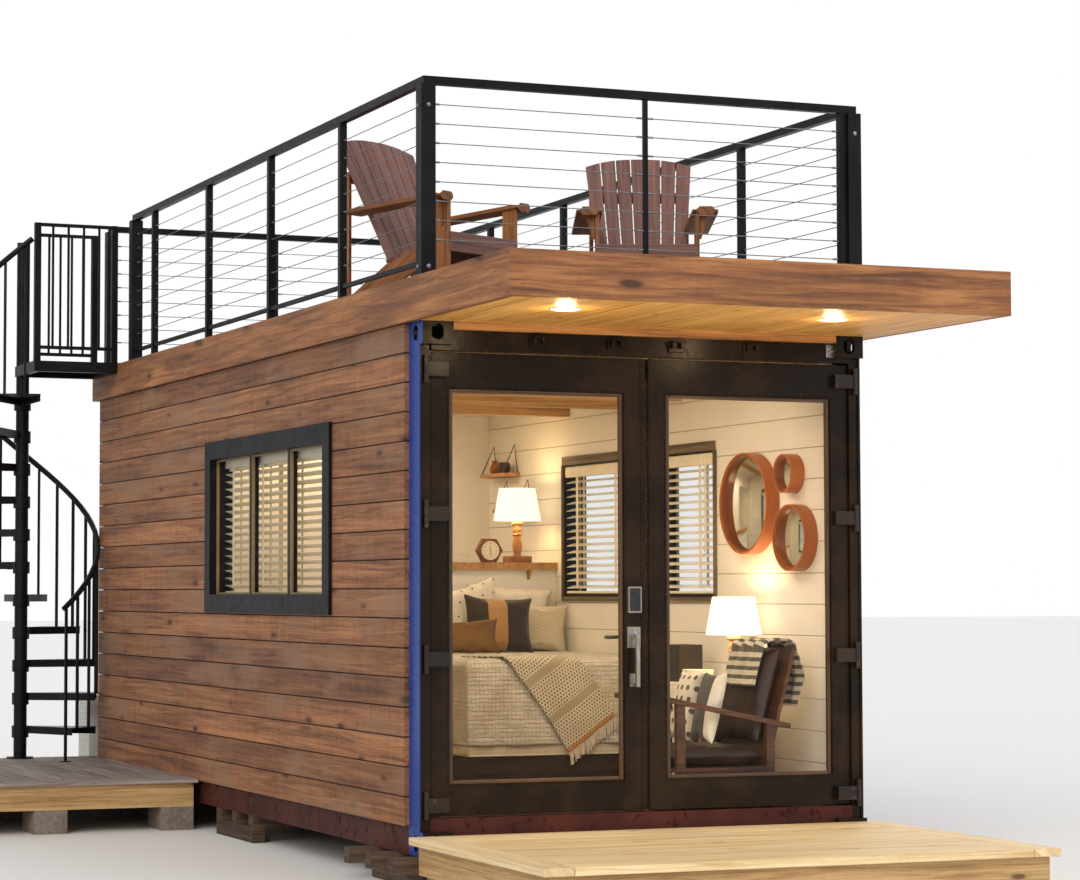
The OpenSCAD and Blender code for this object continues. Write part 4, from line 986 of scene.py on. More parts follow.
@dataclass
class Doors(Assembly):
    """The glazed doors, their stops, locks and the header's keepers."""

    stile: float = 100
    leaf_y: float = 62
    glass_y: float = 92
    low: float = 338
    high: float = 2263
    spans: tuple[tuple[float, float], ...] = ((66, 1200), (1238, 2372))
    pin_xs: tuple[float, float] = (32, 2406)
    pin_y: float = 27

    def stops(self, span: tuple[float, float], name: str, body: Body) -> None:
        """Make the four beads that hold one pane.

        Args:
            span: The leaf's left and right sides.
            name: The piece's name.
            body: The leaf's body.
        """
        bench = self.bench
        x0, x1 = span[0] + self.stile, span[1] - self.stile
        y0, y1, w = self.leaf_y + 6, self.glass_y - 1, 20
        bars = [((x0, y0, self.low), (x0 + w, y1, self.high)),
                ((x1 - w, y0, self.low), (x1, y1, self.high)),
                ((x0 + w, y0, self.low), (x1 - w, y1, self.low + w)),
                ((x0 + w, y0, self.high - w), (x1 - w, y1, self.high))]
        parts = [bench.block(a, b, 4, segments=2) for a, b in bars]
        # The beads are dark painted steel; their bronze brown, lighter than the leaves' black, is painted
        # reflection of warm light.
        bead = Timber("bead_wood", "5d4427", "46321c", "2c1f11", tone=0.1, knots=0.1, rough=0.35)
        bench.join(name, parts, self.palette.add(bead), body)

    def rims(self, span: tuple[float, float], name: str, body: Body) -> None:
        """Make the thin raised lip round the outside of a leaf.

        Args:
            span: The leaf's left and right sides.
            name: The piece's name.
            body: The leaf's body.
        """
        bench = self.bench
        x0, x1, z0, z1, y0, y1, w = span[0], span[1], 188, 2439, self.leaf_y - 4, self.leaf_y, 7
        bars = [((x0, y0, z0), (x0 + w, y1, z1)), ((x1 - w, y0, z0), (x1, y1, z1)),
                ((x0 + w, y0, z0), (x1 - w, y1, z0 + w)), ((x0 + w, y0, z1 - w), (x1 - w, y1, z1))]
        inner = self.stile - 3
        bars += [((x0 + inner - w, y0, self.low - w), (x0 + inner, y1, self.high + w)),
                 ((x1 - inner, y0, self.low - w), (x1 - inner + w, y1, self.high + w)),
                 ((x0 + inner, y0, self.low - w), (x1 - inner, y1, self.low)),
                 ((x0 + inner, y0, self.high), (x1 - inner, y1, self.high + w))]
        parts = [bench.block(a, b, 1.5) for a, b in bars]
        bench.join(name, parts, self.palette.add(BLACK), body)

    def lock(self) -> None:
        """Dress the lockset with its keys, cover and keyhole."""
        bench = self.bench
        x = self.spans[0][1] - self.stile / 2
        y = self.leaf_y
        dark = self.palette.add(Plain("dark_keypad", "1b1b1d", "26262a", 200.0, 0.3))
        face = bench.block((x - 29, y - 30, 1175), (x + 29, y - 25, 1289), 2, segments=2)
        keys = []
        for row in range(4):
            for column in range(3):
                cx, cz = x - 16 + column * 16, 1196 + row * 20
                keys.append(bench.block((cx - 5, y - 32, cz - 6), (cx + 5, y - 29, cz + 6), 1.5))
        bench.join("left_door_keypad", [face, *keys], dark, Body.LEFT)
        metal = self.palette.add(BRIGHT)
        parts = [bench.lathe((x, y - 10, 1060), [(0, 0), (17, 0), (17, 5), (12, 7), (0, 7)], 20, Axis.Y,
                             -1),
                 bench.block((x - 2, y - 18.5, 1054), (x + 2, y - 16, 1066), 0.5)]
        parts += [bench.lathe((x, y - 10, z), [(0, 0), (5, 0), (4, 3), (0, 4)], 12, Axis.Y, -1)
                  for z in (1008, 1084, 815, 850)]
        bench.join("left_door_lock_cylinder", parts, metal, Body.LEFT)

    def keepers(self) -> None:
        """Make the four cam keepers and the small bracket on the header."""
        bench = self.bench
        parts = []
        for x in (620, 1042, 1377, 1800):
            parts += [bench.block((x - 42, 18, 2472), (x + 42, 30, 2530), 3),
                      bench.block((x - 34, -6, 2492), (x - 14, 20, 2524), 4, segments=2),
                      bench.block((x + 14, -6, 2492), (x + 34, 20, 2524), 4, segments=2),
                      bench.block((x - 34, -16, 2518), (x + 34, 20, 2526), 2)]
        bench.join("header_cam_keepers", parts, self.palette.add(BLACK))
        plate = [bench.block((2236, 24, 2474), (2284, 30, 2540), 1.5),
                 bench.block((2248, 6, 2500), (2272, 24, 2506), 1.5)]
        plate += [bench.lathe((2260, 24, z), [(0, 0), (5, 0), (4, 3), (0, 4)], 12, Axis.Y,
                              -1) for z in (2486, 2528)]
        bench.join("header_light_bracket", plate, self.palette.add(BRIGHT))

    def hinge_bolts(self) -> None:
        """Put the pins' round heads on the hinges."""
        for index, (node, body) in enumerate((("left_door_hinges", Body.LEFT), ("right_door_hinges",
                                                                                Body.RIGHT))):
            pin_x = self.pin_xs[index]
            parts = []
            for _, high in self.bench.islands(self.nodes[node]):
                top = (high.z - self.bench.corner.z) * 1000
                parts.append(self.bench.lathe((pin_x, self.pin_y, top - 1),
                                              [(0, 0), (6.5, 0), (6.5, 2), (4, 4), (0, 4.4)], 16))
            self.bench.join(f"{node}_pin_heads", parts, self.palette.add(BRIGHT), body)

    def build(self) -> None:
        """Dress the doors and add what the CAD leaves to the finish."""
        self.dress(BLACK, "left_door", "right_door")
        self.dress(HINGE, "left_door_hinges", "right_door_hinges")
        self.dress(Pane("door_glass"), "left_door_glass", "right_door_glass")
        self.dress(Plain("satin_nickel", "b7b1a4", "938d80", 120.0, 0.34, 0.85), "left_door_lockset")
        self.stops(self.spans[0], "left_door_beads", Body.LEFT)
        self.stops(self.spans[1], "right_door_beads", Body.RIGHT)
        self.rims(self.spans[0], "left_door_lips", Body.LEFT)
        self.rims(self.spans[1], "right_door_lips", Body.RIGHT)
        self.lock()
        self.keepers()
        self.hinge_bolts()


@dataclass
class Decks(Assembly):
    """The boards of the two low decks and of the roof."""

    gap: float = 4

    def field_of(self, low: Point, high: Point, count: int, along: Axis,
                 bevel: float = 3) -> list[bpy.types.Object]:
        """Lay boards side by side.

        Args:
            low: The field's lowest corner.
            high: Its highest corner.
            count: How many boards.
            along: The way they run, X or Y.
            bevel: How far their edges are eased.

        Returns:
            The boards.
        """
        side = 1 - along.value
        width = (high[side] - low[side] - (count - 1) * self.gap) / count
        boards = []
        for i in range(count):
            a, b = list(low), list(high)
            a[side] = low[side] + i * (width + self.gap)
            b[side] = a[side] + width
            boards.append(self.bench.block(a, b, bevel, along))
        return boards

    def build(self) -> None:
        """Lay every deck."""
        bench = self.bench
        edge = 140
        side = self.field_of((-1830, 3650 + edge + self.gap, 125), (-30, 6150, 150), 12, Axis.Y)
        side.append(bench.block((-1830, 3650, 125), (-30, 3650 + edge, 150), 3, Axis.X))
        piece = bench.join("side_deck_planks", side, self.palette.add(GREY_PINE))
        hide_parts("side_deck_boards")
        inner = (-71 + edge + self.gap, 2509 - edge - self.gap)
        front = self.field_of((inner[0], -1620, 62), (inner[1], 0, 100), 11, Axis.X)
        front += [bench.block((x, -1620, 62), (x + edge, 0, 100), 3, Axis.Y) for x in (-71, 2509 - edge)]
        piece = bench.join("front_deck_planks", front, self.palette.add(PALE_PINE))
        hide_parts("front_deck_boards")
        low, high = (((c - bench.corner) * 1000)[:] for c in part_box("roof_deck"))
        roof = self.field_of(low, high, 51, Axis.X, 2)
        piece = bench.join("roof_deck_planks", roof, self.palette.add(ROOF_PINE))
        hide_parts("roof_deck")


@dataclass
class Railing(Assembly):
    """The roof's railing and the spiral stair."""

    def fittings(self) -> None:
        """Put a bright sleeve on both ends of every cable."""
        bench = self.bench
        parts = []
        for low, high in bench.islands(self.nodes["railing_cables"]):
            size = high - low
            way = list(size).index(max(size))
            middle = (low + high) / 2
            for end, step in ((low[way], 1), (high[way], -1)):
                spots = []
                for far in (0.0, 0.034):
                    spot = middle.copy()
                    spot[way] = end + step * far
                    spots.append(spot)
                parts.append(bench.rod(spots, 5.5, 6, framed=True))
        bench.join("railing_cable_ends", parts, self.palette.add(BRIGHT))

    def bolts(self) -> None:
        """Put the bright bolts on the front corner posts and the posts' base plates."""
        bench = self.bench
        dome = [(0, 0), (11, 0), (11, 3), (8, 3.2), (8, 8), (5, 11), (0, 12)]
        parts = [bench.lathe((x, 0, z), dome, 12, Axis.Y, -1)
                 for x in (33.5, 2400.5) for z in (2850, 3640)]
        parts += [bench.lathe((-4, 37.5, z), dome, 12, Axis.X, -1) for z in (2850, 3640)]
        bench.join("railing_bolts", parts, self.palette.add(BRIGHT))

    def build(self) -> None:
        """Dress the railing and the stair."""
        self.dress(TUBE, "railing_posts", "railing_rails", "stair_pole", "stair_treads", "stair_balusters",
                   "stair_handrail", "landing", "landing_guard")
        self.dress(Plain("steel_cable", "8e9092", "626466", 300.0, 0.35, 0.8), "railing_cables")
        self.fittings()
        self.bolts()


@dataclass
class Windows(Assembly):
    """The two side windows with their blinds and trim."""

    low_y: float = 1245
    length: float = 2258
    low_z: float = 1150
    height: float = 1013
    casing: float = 107
    step: float = 140
    slats: Plain | None = None

    def strings(self) -> None:
        """Make the blinds' lift cords, bottom rails, wands and head rails."""
        bench = self.bench
        parts = []
        for side, shift in ((0, 0), (1, self.step)):
            x = 99 - 25 if side == 0 else 2438 - 99 + 25
            y0 = self.low_y + self.casing + shift + 12
            y1 = self.low_y + self.length - self.casing + shift - 12
            z0, z1 = self.low_z + self.casing, self.low_z + self.height - self.casing
            for share in (0.08, 0.36, 0.64, 0.92):
                y = y0 + share * (y1 - y0)
                parts.append(bench.rod([(x, y, z0 + 12), (x, y, z1 - 30)], 1.2, 6))
            parts.append(bench.block((x - 24, y0, z0 + 3), (x + 24, y1, z0 + 19), 4, Axis.Y, 2))
            front = x + (31 if side == 0 else -31)
            parts.append(bench.rod([(front, y0 + 90, z1 - 20), (front, y0 + 92, z1 - 560)], 4, 8))
            parts.append(bench.block((min(front, x), y0 - 6, z1 - 66), (max(front, x), y1 + 6, z1 - 2), 5,
                                     Axis.Y, 2))
        bench.join("blind_cords_and_rails", parts, self.palette.add(self.slats))

    def trims(self) -> None:
        """Make the thin brown trim round the window openings inside the room."""
        bench = self.bench
        parts = []
        for side, shift in ((0, 0), (1, self.step)):
            wall = 99 if side == 0 else 2339
            x0, x1 = (wall, wall + 16) if side == 0 else (wall - 16, wall)
            y0, y1 = self.low_y + self.casing + shift - 25, self.low_y + self.length - self.casing + shift + 25
            z0, z1 = self.low_z + self.casing - 25, self.low_z + self.height - self.casing + 25
            parts += [bench.block((x0, y0, z1 - 12), (x1, y1, z1 + 40), 2, Axis.Y),
                      bench.block((x0, y0, z0 - 18), (x1, y1, z0 + 8), 2, Axis.Y),
                      bench.block((x0, y0 - 12, z0 - 18), (x1, y0 + 12, z1 - 12), 2, Axis.Z),
                      bench.block((x0, y1 - 12, z0 - 18), (x1, y1 + 12, z1 - 12), 2, Axis.Z)]
        trim = Timber("window_trim", "8a775a", "6d5c43", "4a3d2b", tone=0.15, knots=0.3, rough=0.6)
        bench.join("window_inner_trim", parts, self.palette.add(trim))

    def sashes(self) -> None:
        """Make the tan strips round the lights, seen inside the black casing."""
        bench = self.bench
        parts = []
        light = (self.length - 2 * self.casing - 80) / 3
        for side, shift in ((0, 0), (1, self.step)):
            x0, x1 = (-3, 14) if side == 0 else (2424, 2441)
            for i in range(3):
                y0 = self.low_y + self.casing + shift + i * (light + 40)
                y1, z0, z1 = y0 + light, self.low_z + self.casing, self.low_z + self.height - self.casing
                w = 12
                parts += [bench.block((x0, y0, z0), (x1, y0 + w, z1), 1.5),
                          bench.block((x0, y1 - w, z0), (x1, y1, z1), 1.5),
                          bench.block((x0, y0 + w, z0), (x1, y1 - w, z0 + w), 1.5),
                          bench.block((x0, y0 + w, z1 - w), (x1, y1 - w, z1), 1.5)]
        tan = Plain("tan_sash", "8f7657", "75603f", 60.0, 0.5)
        bench.join("window_sash_strips", parts, self.palette.add(tan))

    def build(self) -> None:
        """Dress the windows and add their small pieces."""
        self.slats = Plain("cream_slats", "efe6cd", "e3d8bb", 30.0, 0.45)
        self.dress(self.slats, "window_blinds")
        self.dress(DARK_FRAME, "window_frames")
        self.dress(Pane("window_glass_panes", "2c3435", 0.08), "window_glass")
        self.strings()
        self.trims()
        self.sashes()


@dataclass
class Softs(Assembly):
    """The bed, its pillows and throw, and the pads and blanket of the lounge chair."""

    bed_x: tuple[float, float] = (964, 2334)
    bed_y: tuple[float, float] = (1805, 3695)
    top: float = 885
    hem: float = 430
    seat: tuple[float, float, float] = (1760, 460, 180)
    lean: float = 15

    # Cloth patterns

    @staticmethod
    def stripes(stops: Sequence[tuple[float, str]], period: float) -> Callable[[Graph, Wire, Wire, Wire],
                                                                               Wire]:
        """Make a pattern of bands across a pillow.

        Args:
            stops: Where each band starts, as a share of the period, and its colour.
            period: The bands' whole width, metres.

        Returns:
            The pattern.
        """
        def paint(g: Graph, u: Wire, v: Wire, ground: Wire) -> Wire:
            """Lay the bands on the ground."""
            place = (u / period + 0.5).part()
            colour = ground
            for start, code in stops:
                colour = g.mix((place > start) * 0.94, colour, code)
            return colour
        return paint

    @staticmethod
    def dots(code: str, pitch: float, size: float) -> Callable[[Graph, Wire, Wire, Wire], Wire]:
        """Make a pattern of small spots in offset rows."""
        def paint(g: Graph, u: Wire, v: Wire, ground: Wire) -> Wire:
            """Lay the spots on the ground."""
            row = (v / pitch).floor()
            x = ((u / pitch + row * 0.5).part() - 0.5) * 1.0
            y = (v / pitch).part() - 0.5
            near = x * x + y * y
            return g.mix((near < size * size) * 0.9, ground, code)
        return paint

    @staticmethod
    def herringbone(code: str, pitch: float) -> Callable[[Graph, Wire, Wire, Wire], Wire]:
        """Make a pattern of slanting ribs that turn at each column."""
        def paint(g: Graph, u: Wire, v: Wire, ground: Wire) -> Wire:
            """Lay the ribs on the ground."""
            fold = abs((u / (pitch * 4.0)).part() - 0.5) * 4.0
            rib = (v / pitch + fold).part()
            return g.mix((rib > 0.62) * 0.5, ground, code)
        return paint

    # Making

    def pad(self, name: str, size: Point, seed: int, swell: float = 4.0,
            crown: float = 0.4, dent: float = 0.05, cells: int = 26) -> bpy.types.Object:
        """Make a stuffed pad round the frame's origin, lying flat.

        Args:
            name: Its name.
            size: Width, height and thickness, mm.
            seed: What its creases start from.
            swell: The pressure that blows it up.
            crown: How square its section is, less for squarer.
            dent: How far its sides pull in between the corners.
            cells: Faces along each side.

        Returns:
            The pad.
        """
        bench = self.bench
        width, height, thick = (s / 1000 for s in size)
        bpy.ops.object.select_all(action="DESELECT")
        bpy.ops.mesh.primitive_grid_add(x_subdivisions=cells, y_subdivisions=cells, size=1, calc_uvs=False)
        piece = bpy.context.active_object
        piece.name = name
        bench.edit(piece,
                   lambda: bpy.ops.mesh.extrude_region_move(TRANSFORM_OT_translate={"value": (0, 0, -0.2)}),
                   lambda: bpy.ops.mesh.select_all(action="SELECT"),
                   lambda: bpy.ops.mesh.normals_make_consistent(inside=False))
        mesh = piece.data
        layer = mesh.uv_layers.new(name="cloth")
        for loop in mesh.loops:
            spot = mesh.vertices[loop.vertex_index].co
            layer.data[loop.index].uv = (spot.x * width, spot.y * height)
        for corner in mesh.vertices:
            u, v, side = corner.co.x * 2, corner.co.y * 2, 1 if corner.co.z > -0.1 else -1
            bulge = (max(1 - u * u, 0) * max(1 - v * v, 0)) ** crown
            pull_x = 1 - dent * (1 - v * v)
            pull_y = 1 - dent * (1 - u * u)
            crease = noise.noise(Vector((u * 2.1 + seed, v * 2.1, side * 3.0))) * 0.10 * bulge
            fold = math.sin((abs(u) + abs(v)) * 9 + seed) * 0.03 * (abs(u * v)) ** 1.5
            corner.co = Vector((u / 2 * width * pull_x, v / 2 * height * pull_y,
                                side * thick * (0.46 * bulge + crease + fold * 0.4) + side * 0.003))
        self.blow(piece, swell)
        bench.finish(piece, "SUBSURF", levels=1, render_levels=1)
        self.fit(piece, (width, height, thick))
        bench.only(piece)
        bpy.ops.object.shade_smooth()
        return piece

    def blow(self, piece: bpy.types.Object, swell: float) -> None:
        """Blow a pad up as cloth, keeping each point near its start.

        Args:
            piece: The pad.
            swell: The pressure.
        """
        scene = bpy.context.scene
        start = [corner.co.copy() for corner in piece.data.vertices]
        made = piece.modifiers.new("cloth", "CLOTH")
        made.settings.use_pressure = True
        made.settings.uniform_pressure_force = swell
        made.settings.quality = 5
        made.settings.mass = 0.3
        made.settings.tension_stiffness = 15
        made.settings.compression_stiffness = 15
        made.settings.bending_stiffness = 0.5
        made.settings.effector_weights.gravity = 0
        made.point_cache.frame_start, made.point_cache.frame_end = 1, 20
        for frame in range(1, 21):
            scene.frame_set(frame)
        self.bench.only(piece)
        bpy.ops.object.modifier_apply(modifier=made.name)
        scene.frame_set(1)
        most = 0.022
        for corner, old in zip(piece.data.vertices, start):
            step = corner.co - old
            if step.length > most:
                corner.co = old + step * (most / step.length)

    @staticmethod
    def fit(piece: bpy.types.Object, size: Sequence[float]) -> None:
        """Scale a pad to its own size about the frame's origin.

        Args:
            piece: The pad.
            size: Width, height and thickness, metres.
        """
        spots = [corner.co for corner in piece.data.vertices]
        low = [min(p[i] for p in spots) for i in range(3)]
        high = [max(p[i] for p in spots) for i in range(3)]
        scale = [want / (b - a) for want, a, b in zip(size, low, high)]
        for corner in piece.data.vertices:
            for i in range(3):
                corner.co[i] = (corner.co[i] - (low[i] + high[i]) / 2) * scale[i]

    def stand(self, piece: bpy.types.Object, place: Point, lean: float = 8, turn: float = 0,
              roll: float = 0) -> bpy.types.Object:
        """Stand a pad up, facing the front.

        Args:
            piece: The pad.
            place: Its middle, mm.
            lean: How far its top leans back, degrees.
            turn: How far it turns about z, degrees.
            roll: How far it rolls about its own face, degrees.

        Returns:
            The pad.
        """
        up = Matrix.Rotation(math.radians(90 - lean), 4, "X")
        way = Matrix.Rotation(math.radians(turn), 4, "Z") @ up @ Matrix.Rotation(math.radians(roll), 4, "Z")
        piece.data.transform(Matrix.Translation(self.bench.at(*place)) @ way)
        return piece

    def pillows(self) -> None:
        """Make every pillow of the bed and the lounge chair."""
        white = Cloth("white_pillow_linen", "efe6d4", "ddd0b8")
        spotted = Cloth("white_dotted_cotton", "ece2cd", "dccfb5", pattern=self.dots("8d7c64", 0.03, 0.16))
        tan_dots = Cloth("white_sparse_dots", "ebe1cc", "d9ccb2", pattern=self.dots("2b2622", 0.08, 0.085))
        bands = Cloth("banded_canvas", "c7a77c", "b8956a", pattern=self.stripes(
            [(0.0, "241f1d"), (0.31, "b98a58"), (0.60, "211d22")], 0.44))
        hide = Hide("tan_leather", "6b481d", "8c672e")
        ribs = Cloth("cream_herringbone", "e3d6b9", "d6c6a5", pattern=self.herringbone("a8977a", 0.022))
        wide = Cloth("white_with_dark_band", "e9dfca", "dacdb3", pattern=self.stripes(
            [(0.30, "2a2623"), (0.62, "e9dfca")], 0.5))
        blots = Cloth("white_with_dark_spots", "e9dfca", "dacdb3", pattern=self.dots("2f2a26", 0.06, 0.24))
        x0, y1, z = self.bed_x[0], self.bed_y[1], self.top
        rows = [(0.03, 600, 420, 130, 0, white, 6, 2), (0.53, 600, 430, 130, 0, white, 6, -4),
                (0.04, 450, 330, 110, 1, spotted, 10, 0), (0.375, 430, 440, 110, 1, tan_dots, 9, 16),
                (0.702, 400, 320, 110, 1, ribs, 9, -5), (0.43, 470, 365, 110, 2, bands, 9, -2),
                (0.18, 520, 215, 110, 3, hide, 10, 2)]
        made = []
        for number, (share, w, h, t, row, finish, lean, roll) in enumerate(rows):
            piece = self.pad(f"bed_pillow_{number + 1}", (w - 10, h, t), number * 7 + 3)
            middle = (x0 + share * 1370 + w / 2, y1 - row * 160 - t / 2, z + h / 2 + 2)
            self.stand(piece, middle, lean, 0, roll)
            made.append((piece, finish))
        for number, (side, finish) in enumerate(((-0.5, blots), (0.5, wide))):
            piece = self.pad(f"lounge_pillow_{number + 1}", (245, 370, 100), number * 11 + 5)
            spin = self.lounge_place(side * 253, -58 + number * 4, 310 + 188)
            self.stand(piece, spin, 14, -90)
            made.append((piece, finish))
        for piece, finish in made:
            self.bench.join(piece.name, [piece], self.palette.add(finish))
        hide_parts("pillows")

    def lounge_place(self, x: float, y: float, z: float) -> tuple[float, float, float]:
        """Turn a place on the lounge chair into the container's mm."""
        cx, cy, cz = self.seat
        return cx + y, cy - x, cz + z

    def cushions(self) -> None:
        """Make the lounge chair's leather seat and back."""
        hide = self.palette.add(Hide("dark_brown_leather", "2c1a10", "46291a"))
        seat = self.pad("lounge_seat_cushion", (525, 500, 112), 21, crown=0.16, dent=0.015, cells=24)
        seat.data.transform(Matrix.Translation(self.bench.at(*self.lounge_place(0, -66,
                                                                                256))) @ Matrix.Rotation(
            math.radians(-90), 4, "Z"))
        back = self.pad("lounge_back_cushion", (500, 500, 108), 33, crown=0.16, dent=0.015, cells=24)
        shift = math.tan(math.radians(self.lean)) * (555 - 200)
        self.stand(back, self.lounge_place(0, 189 + shift - 55, 557), self.lean, -90)
        for piece in (seat, back):
            self.bench.join(piece.name, [piece], hide)
        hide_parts("lounge_cushions")

    # Sheets

    def cloth(self, name: str, cells: tuple[int, int], thick: float,
              shape: Callable[[float, float], Vector], flat: tuple[float, float]) -> bpy.types.Object:
        """Lay a sheet by its shape.

        Args:
            name: Its name.
            cells: Faces across and along.
            thick: Its thickness, mm.
            shape: Gives the place of a point from its two shares, in the frame.
            flat: Width and length of the cut, metres.

        Returns:
            The sheet.
        """
        bench = self.bench
        bpy.ops.object.select_all(action="DESELECT")
        bpy.ops.mesh.primitive_grid_add(x_subdivisions=cells[0], y_subdivisions=cells[1], size=1,
                                        calc_uvs=False)
        piece = bpy.context.active_object
        piece.name = name
        mesh = piece.data
        layer = mesh.uv_layers.new(name="cloth")
        for loop in mesh.loops:
            spot = mesh.vertices[loop.vertex_index].co
            layer.data[loop.index].uv = (spot.x * flat[0], spot.y * flat[1])
        for corner in mesh.vertices:
            corner.co = shape(corner.co.x + 0.5, corner.co.y + 0.5)
        bench.finish(piece, "SOLIDIFY", thickness=thick / 1000, offset=0.0)
        bench.only(piece)
        bpy.ops.object.shade_smooth()
        return piece

    def quilt(self) -> None:
        """Make the quilt, the mattress's edge and the bed's rustic base."""
        bench = self.bench
        x0, x1 = self.bed_x
        y0, y1 = self.bed_y
        drop, curve = self.top - self.hem, 45.0
        flat = ((x1 - x0 + drop) / 1000, (y1 - y0 + drop) / 1000)

        def over_edge(run: float) -> tuple[float, float]:
            """Follow a rounded edge: how far out and how far down a run past it lies."""
            arc = curve * math.pi / 2
            if run <= 0:
                return run, 0.0
            if run < arc:
                turn = run / curve
                return curve * math.sin(turn), curve * (1 - math.cos(turn))
            return curve, curve + run - arc

        def shape(s: float, t: float) -> Vector:
            """Place one point of the quilt."""
            run_x = drop - s * flat[0] * 1000
            run_y = drop - t * flat[1] * 1000
            out_x, down_x = over_edge(run_x + curve)
            out_y, down_y = over_edge(run_y + curve)
            x = x0 + curve - 4 - out_x
            y = y0 + curve - 4 - out_y
            down = max(down_x, down_y)
            both = min(down_x, down_y)
            x, y = x + both * 0.10, y + both * 0.10
            z = self.top + 8 - down
            wave = math.sin(t * 41 + 1.3 * math.sin(t * 17)) if down_x > down_y else math.sin(
                s * 37 + 1.5 * math.sin(s * 19))
            deep = min(down / drop, 1.0)
            sway = wave * 9 * deep
            if down_x > 1:
                x += sway - 4 * deep
            if down_y > 1:
                y += sway - 4 * deep
            run = noise.noise(Vector((s * 46, t * 9, 0.0))) * 0.5 + noise.noise(Vector((s * 90, t * 25,
                                                                                        4.0)))
            channel = abs(math.sin(t * flat[1] * 1000 * math.pi / 46)) ** 0.5
            puff = 3.0 * channel + 4.5 * run * channel + 6 * noise.noise(Vector((s * 4, t * 4, 9.0)))
            if down < curve * 0.5:
                z += puff
            elif down_x >= down_y:
                x -= puff * 0.8
            else:
                y -= puff * 0.8
            return bench.at(x, y, max(z, self.hem - 20))

        white = Cloth("crinkled_quilt", "efe6d2", "c9b994", threads=700, depth=0.0022, rough=0.95,
                      stitch=0.024)
        sheet = self.cloth("bed_quilt", (150, 200), 5, shape, flat)
        bench.join("bed_quilt", [sheet], self.palette.add(white))
        core = bench.block((x0 + 6, y0 + 6, 350), (x1, y1, self.top - 4), 34, segments=3)
        welts = [bench.rod([(x0 + 8, y0 + 8, z), (x1 - 4, y0 + 8, z)], 5, 6) for z in (362, 402)]
        core = bench.join("bed_mattress_core", [core, *welts],
                          self.palette.add(Cloth("mattress_ticking", "e6dabd", "d2c4a2", charted=False)))
        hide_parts("mattress")
        self.dress(Timber("rustic_bed_boards", "4a3527", "352419", "1f150e", "120b07", along=Axis.X,
                          across=Axis.Z, pitch=0.17, start=0.335, tone=0.3, rough=0.8), "bed_base")

    def weave(self, g: Graph, u: Wire, v: Wire, ground: Wire) -> Wire:
        """Paint the throw's basket weave, bands and border."""
        pitch = 0.019
        row = (v / pitch).floor()
        cell = (u / pitch + row * 0.5).part()
        place = (v / pitch).part()
        tick = (cell > 0.42) * (cell < 0.90) * (place > 0.28) * (place < 0.80)
        band = ((v + 0.275) / 0.24).part() < 0.19
        colour = g.mix(tick * (1.0 - band) * 0.88, ground, "3a3128")
        colour = g.mix(band * 0.75, colour, "a08e6e")
        return g.mix((v < -0.447) * 0.92, colour, "c07a34")

    def throw(self) -> None:
        """Make the woven throw slanting over the foot of the bed, with its fringe."""
        bench = self.bench
        flat = (0.35, 0.945)
        middle, foot, radius = 1405.0, 525.0, 40.0
        steep = math.atan2(530, 376)
        face, crest = self.bed_y[0] - 30, self.top + 24

        def shape(s: float, t: float) -> Vector:
            """Place one point of the throw."""
            along = foot - t * flat[1] * 1000
            side = (s - 0.5) * flat[0] * 1000
            bulge = 14 * math.sin(min(max(along / foot, 0), 1) * math.pi)
            x = middle + along * math.cos(steep) + side * math.sin(steep) + bulge
            past = along * math.sin(steep) - side * math.cos(steep)
            ripple = math.sin(side / 40 + along / 190) * 4 + 4 * noise.noise(Vector((s * 4, t * 7, 2.0)))
            arc = radius * math.pi / 4
            turn = min(max((past + arc) / radius, 0), math.pi / 2)
            y = face + radius - radius * math.sin(turn) + max(-past - arc, 0) - ripple * math.sin(turn)
            z = crest - radius + radius * math.cos(turn) - max(past - arc,
                                                               0) + ripple * math.cos(turn) * 0.5
            return bench.at(x, y, z)

        wool = Cloth("basket_weave_throw", "ddd0b0", "cbbd99", threads=500, depth=0.002, rough=0.95,
                     pattern=self.weave)
        sheet = self.cloth("bed_throw", (44, 118), 9, shape, flat)
        bench.join("bed_throw", [sheet], self.palette.add(wool))
        luck = random.Random(5)
        strands = []
        for i in range(46):
            s = (i + 0.5) / 46
            hem = (shape(s, 0.0) - bench.corner) * 1000
            drift = luck.uniform(-7, 7)
            strands.append(bench.rod([(hem.x - 4, hem.y, hem.z + 6),
                                      (hem.x + 9 + drift * 0.4, hem.y - 3, hem.z - 28),
                                      (hem.x + 12 + drift, hem.y - 2, hem.z - luck.uniform(56, 74))], 3.2,
                                     4))
        fringe = bench.join("bed_throw_fringe", strands, self.palette.add(
            Plain("white_fringe_yarn", "eee4cf", "d9ccb0", 400.0, 0.95, 0.0, 0.001)))
        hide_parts("throws")

    def blanket(self) -> None:
        """Make the knitted blanket over the back of the lounge chair."""
        bench = self.bench
        flat = (0.36, 0.66)
        top = 830.0

        def shape(s: float, t: float) -> Vector:
            """Place one point of the blanket."""
            run = (t - 0.42) * flat[1] * 1000
            lean = math.tan(math.radians(self.lean))
            half = 88.0
            loose = min(abs(run) / 220, 1.0)
            side = 215 - s * 300 + 16 * loose * math.sin(run / 70 + 1.0)
            knit = 4.5 * abs(math.sin(s * 300 / 11.5)) + 6 * noise.noise(Vector((s * 4, t * 6, 1.0)))
            fold = 8 + (12 + 16 * loose) * (0.5 + 0.5 * math.sin(s * 15 + run / 110)) + knit
            middle = 189 + (800 - 200) * lean - 45
            if abs(run) < half:
                turn = run / half * math.pi / 2
                y = middle + math.sin(turn) * (half - 12) + fold * math.sin(turn)
                z = top - 24 + math.cos(turn) * 34 + fold * 0.8
            else:
                way = 1 if run > 0 else -1
                down = abs(run) - half
                flare = 0.6 * min(down, 150) if way > 0 else 0.0
                y = middle + way * (half - 12 + fold) - down * lean + flare
                z = top - 24 - down
            return bench.at(*self.lounge_place(side, y, z - 10))

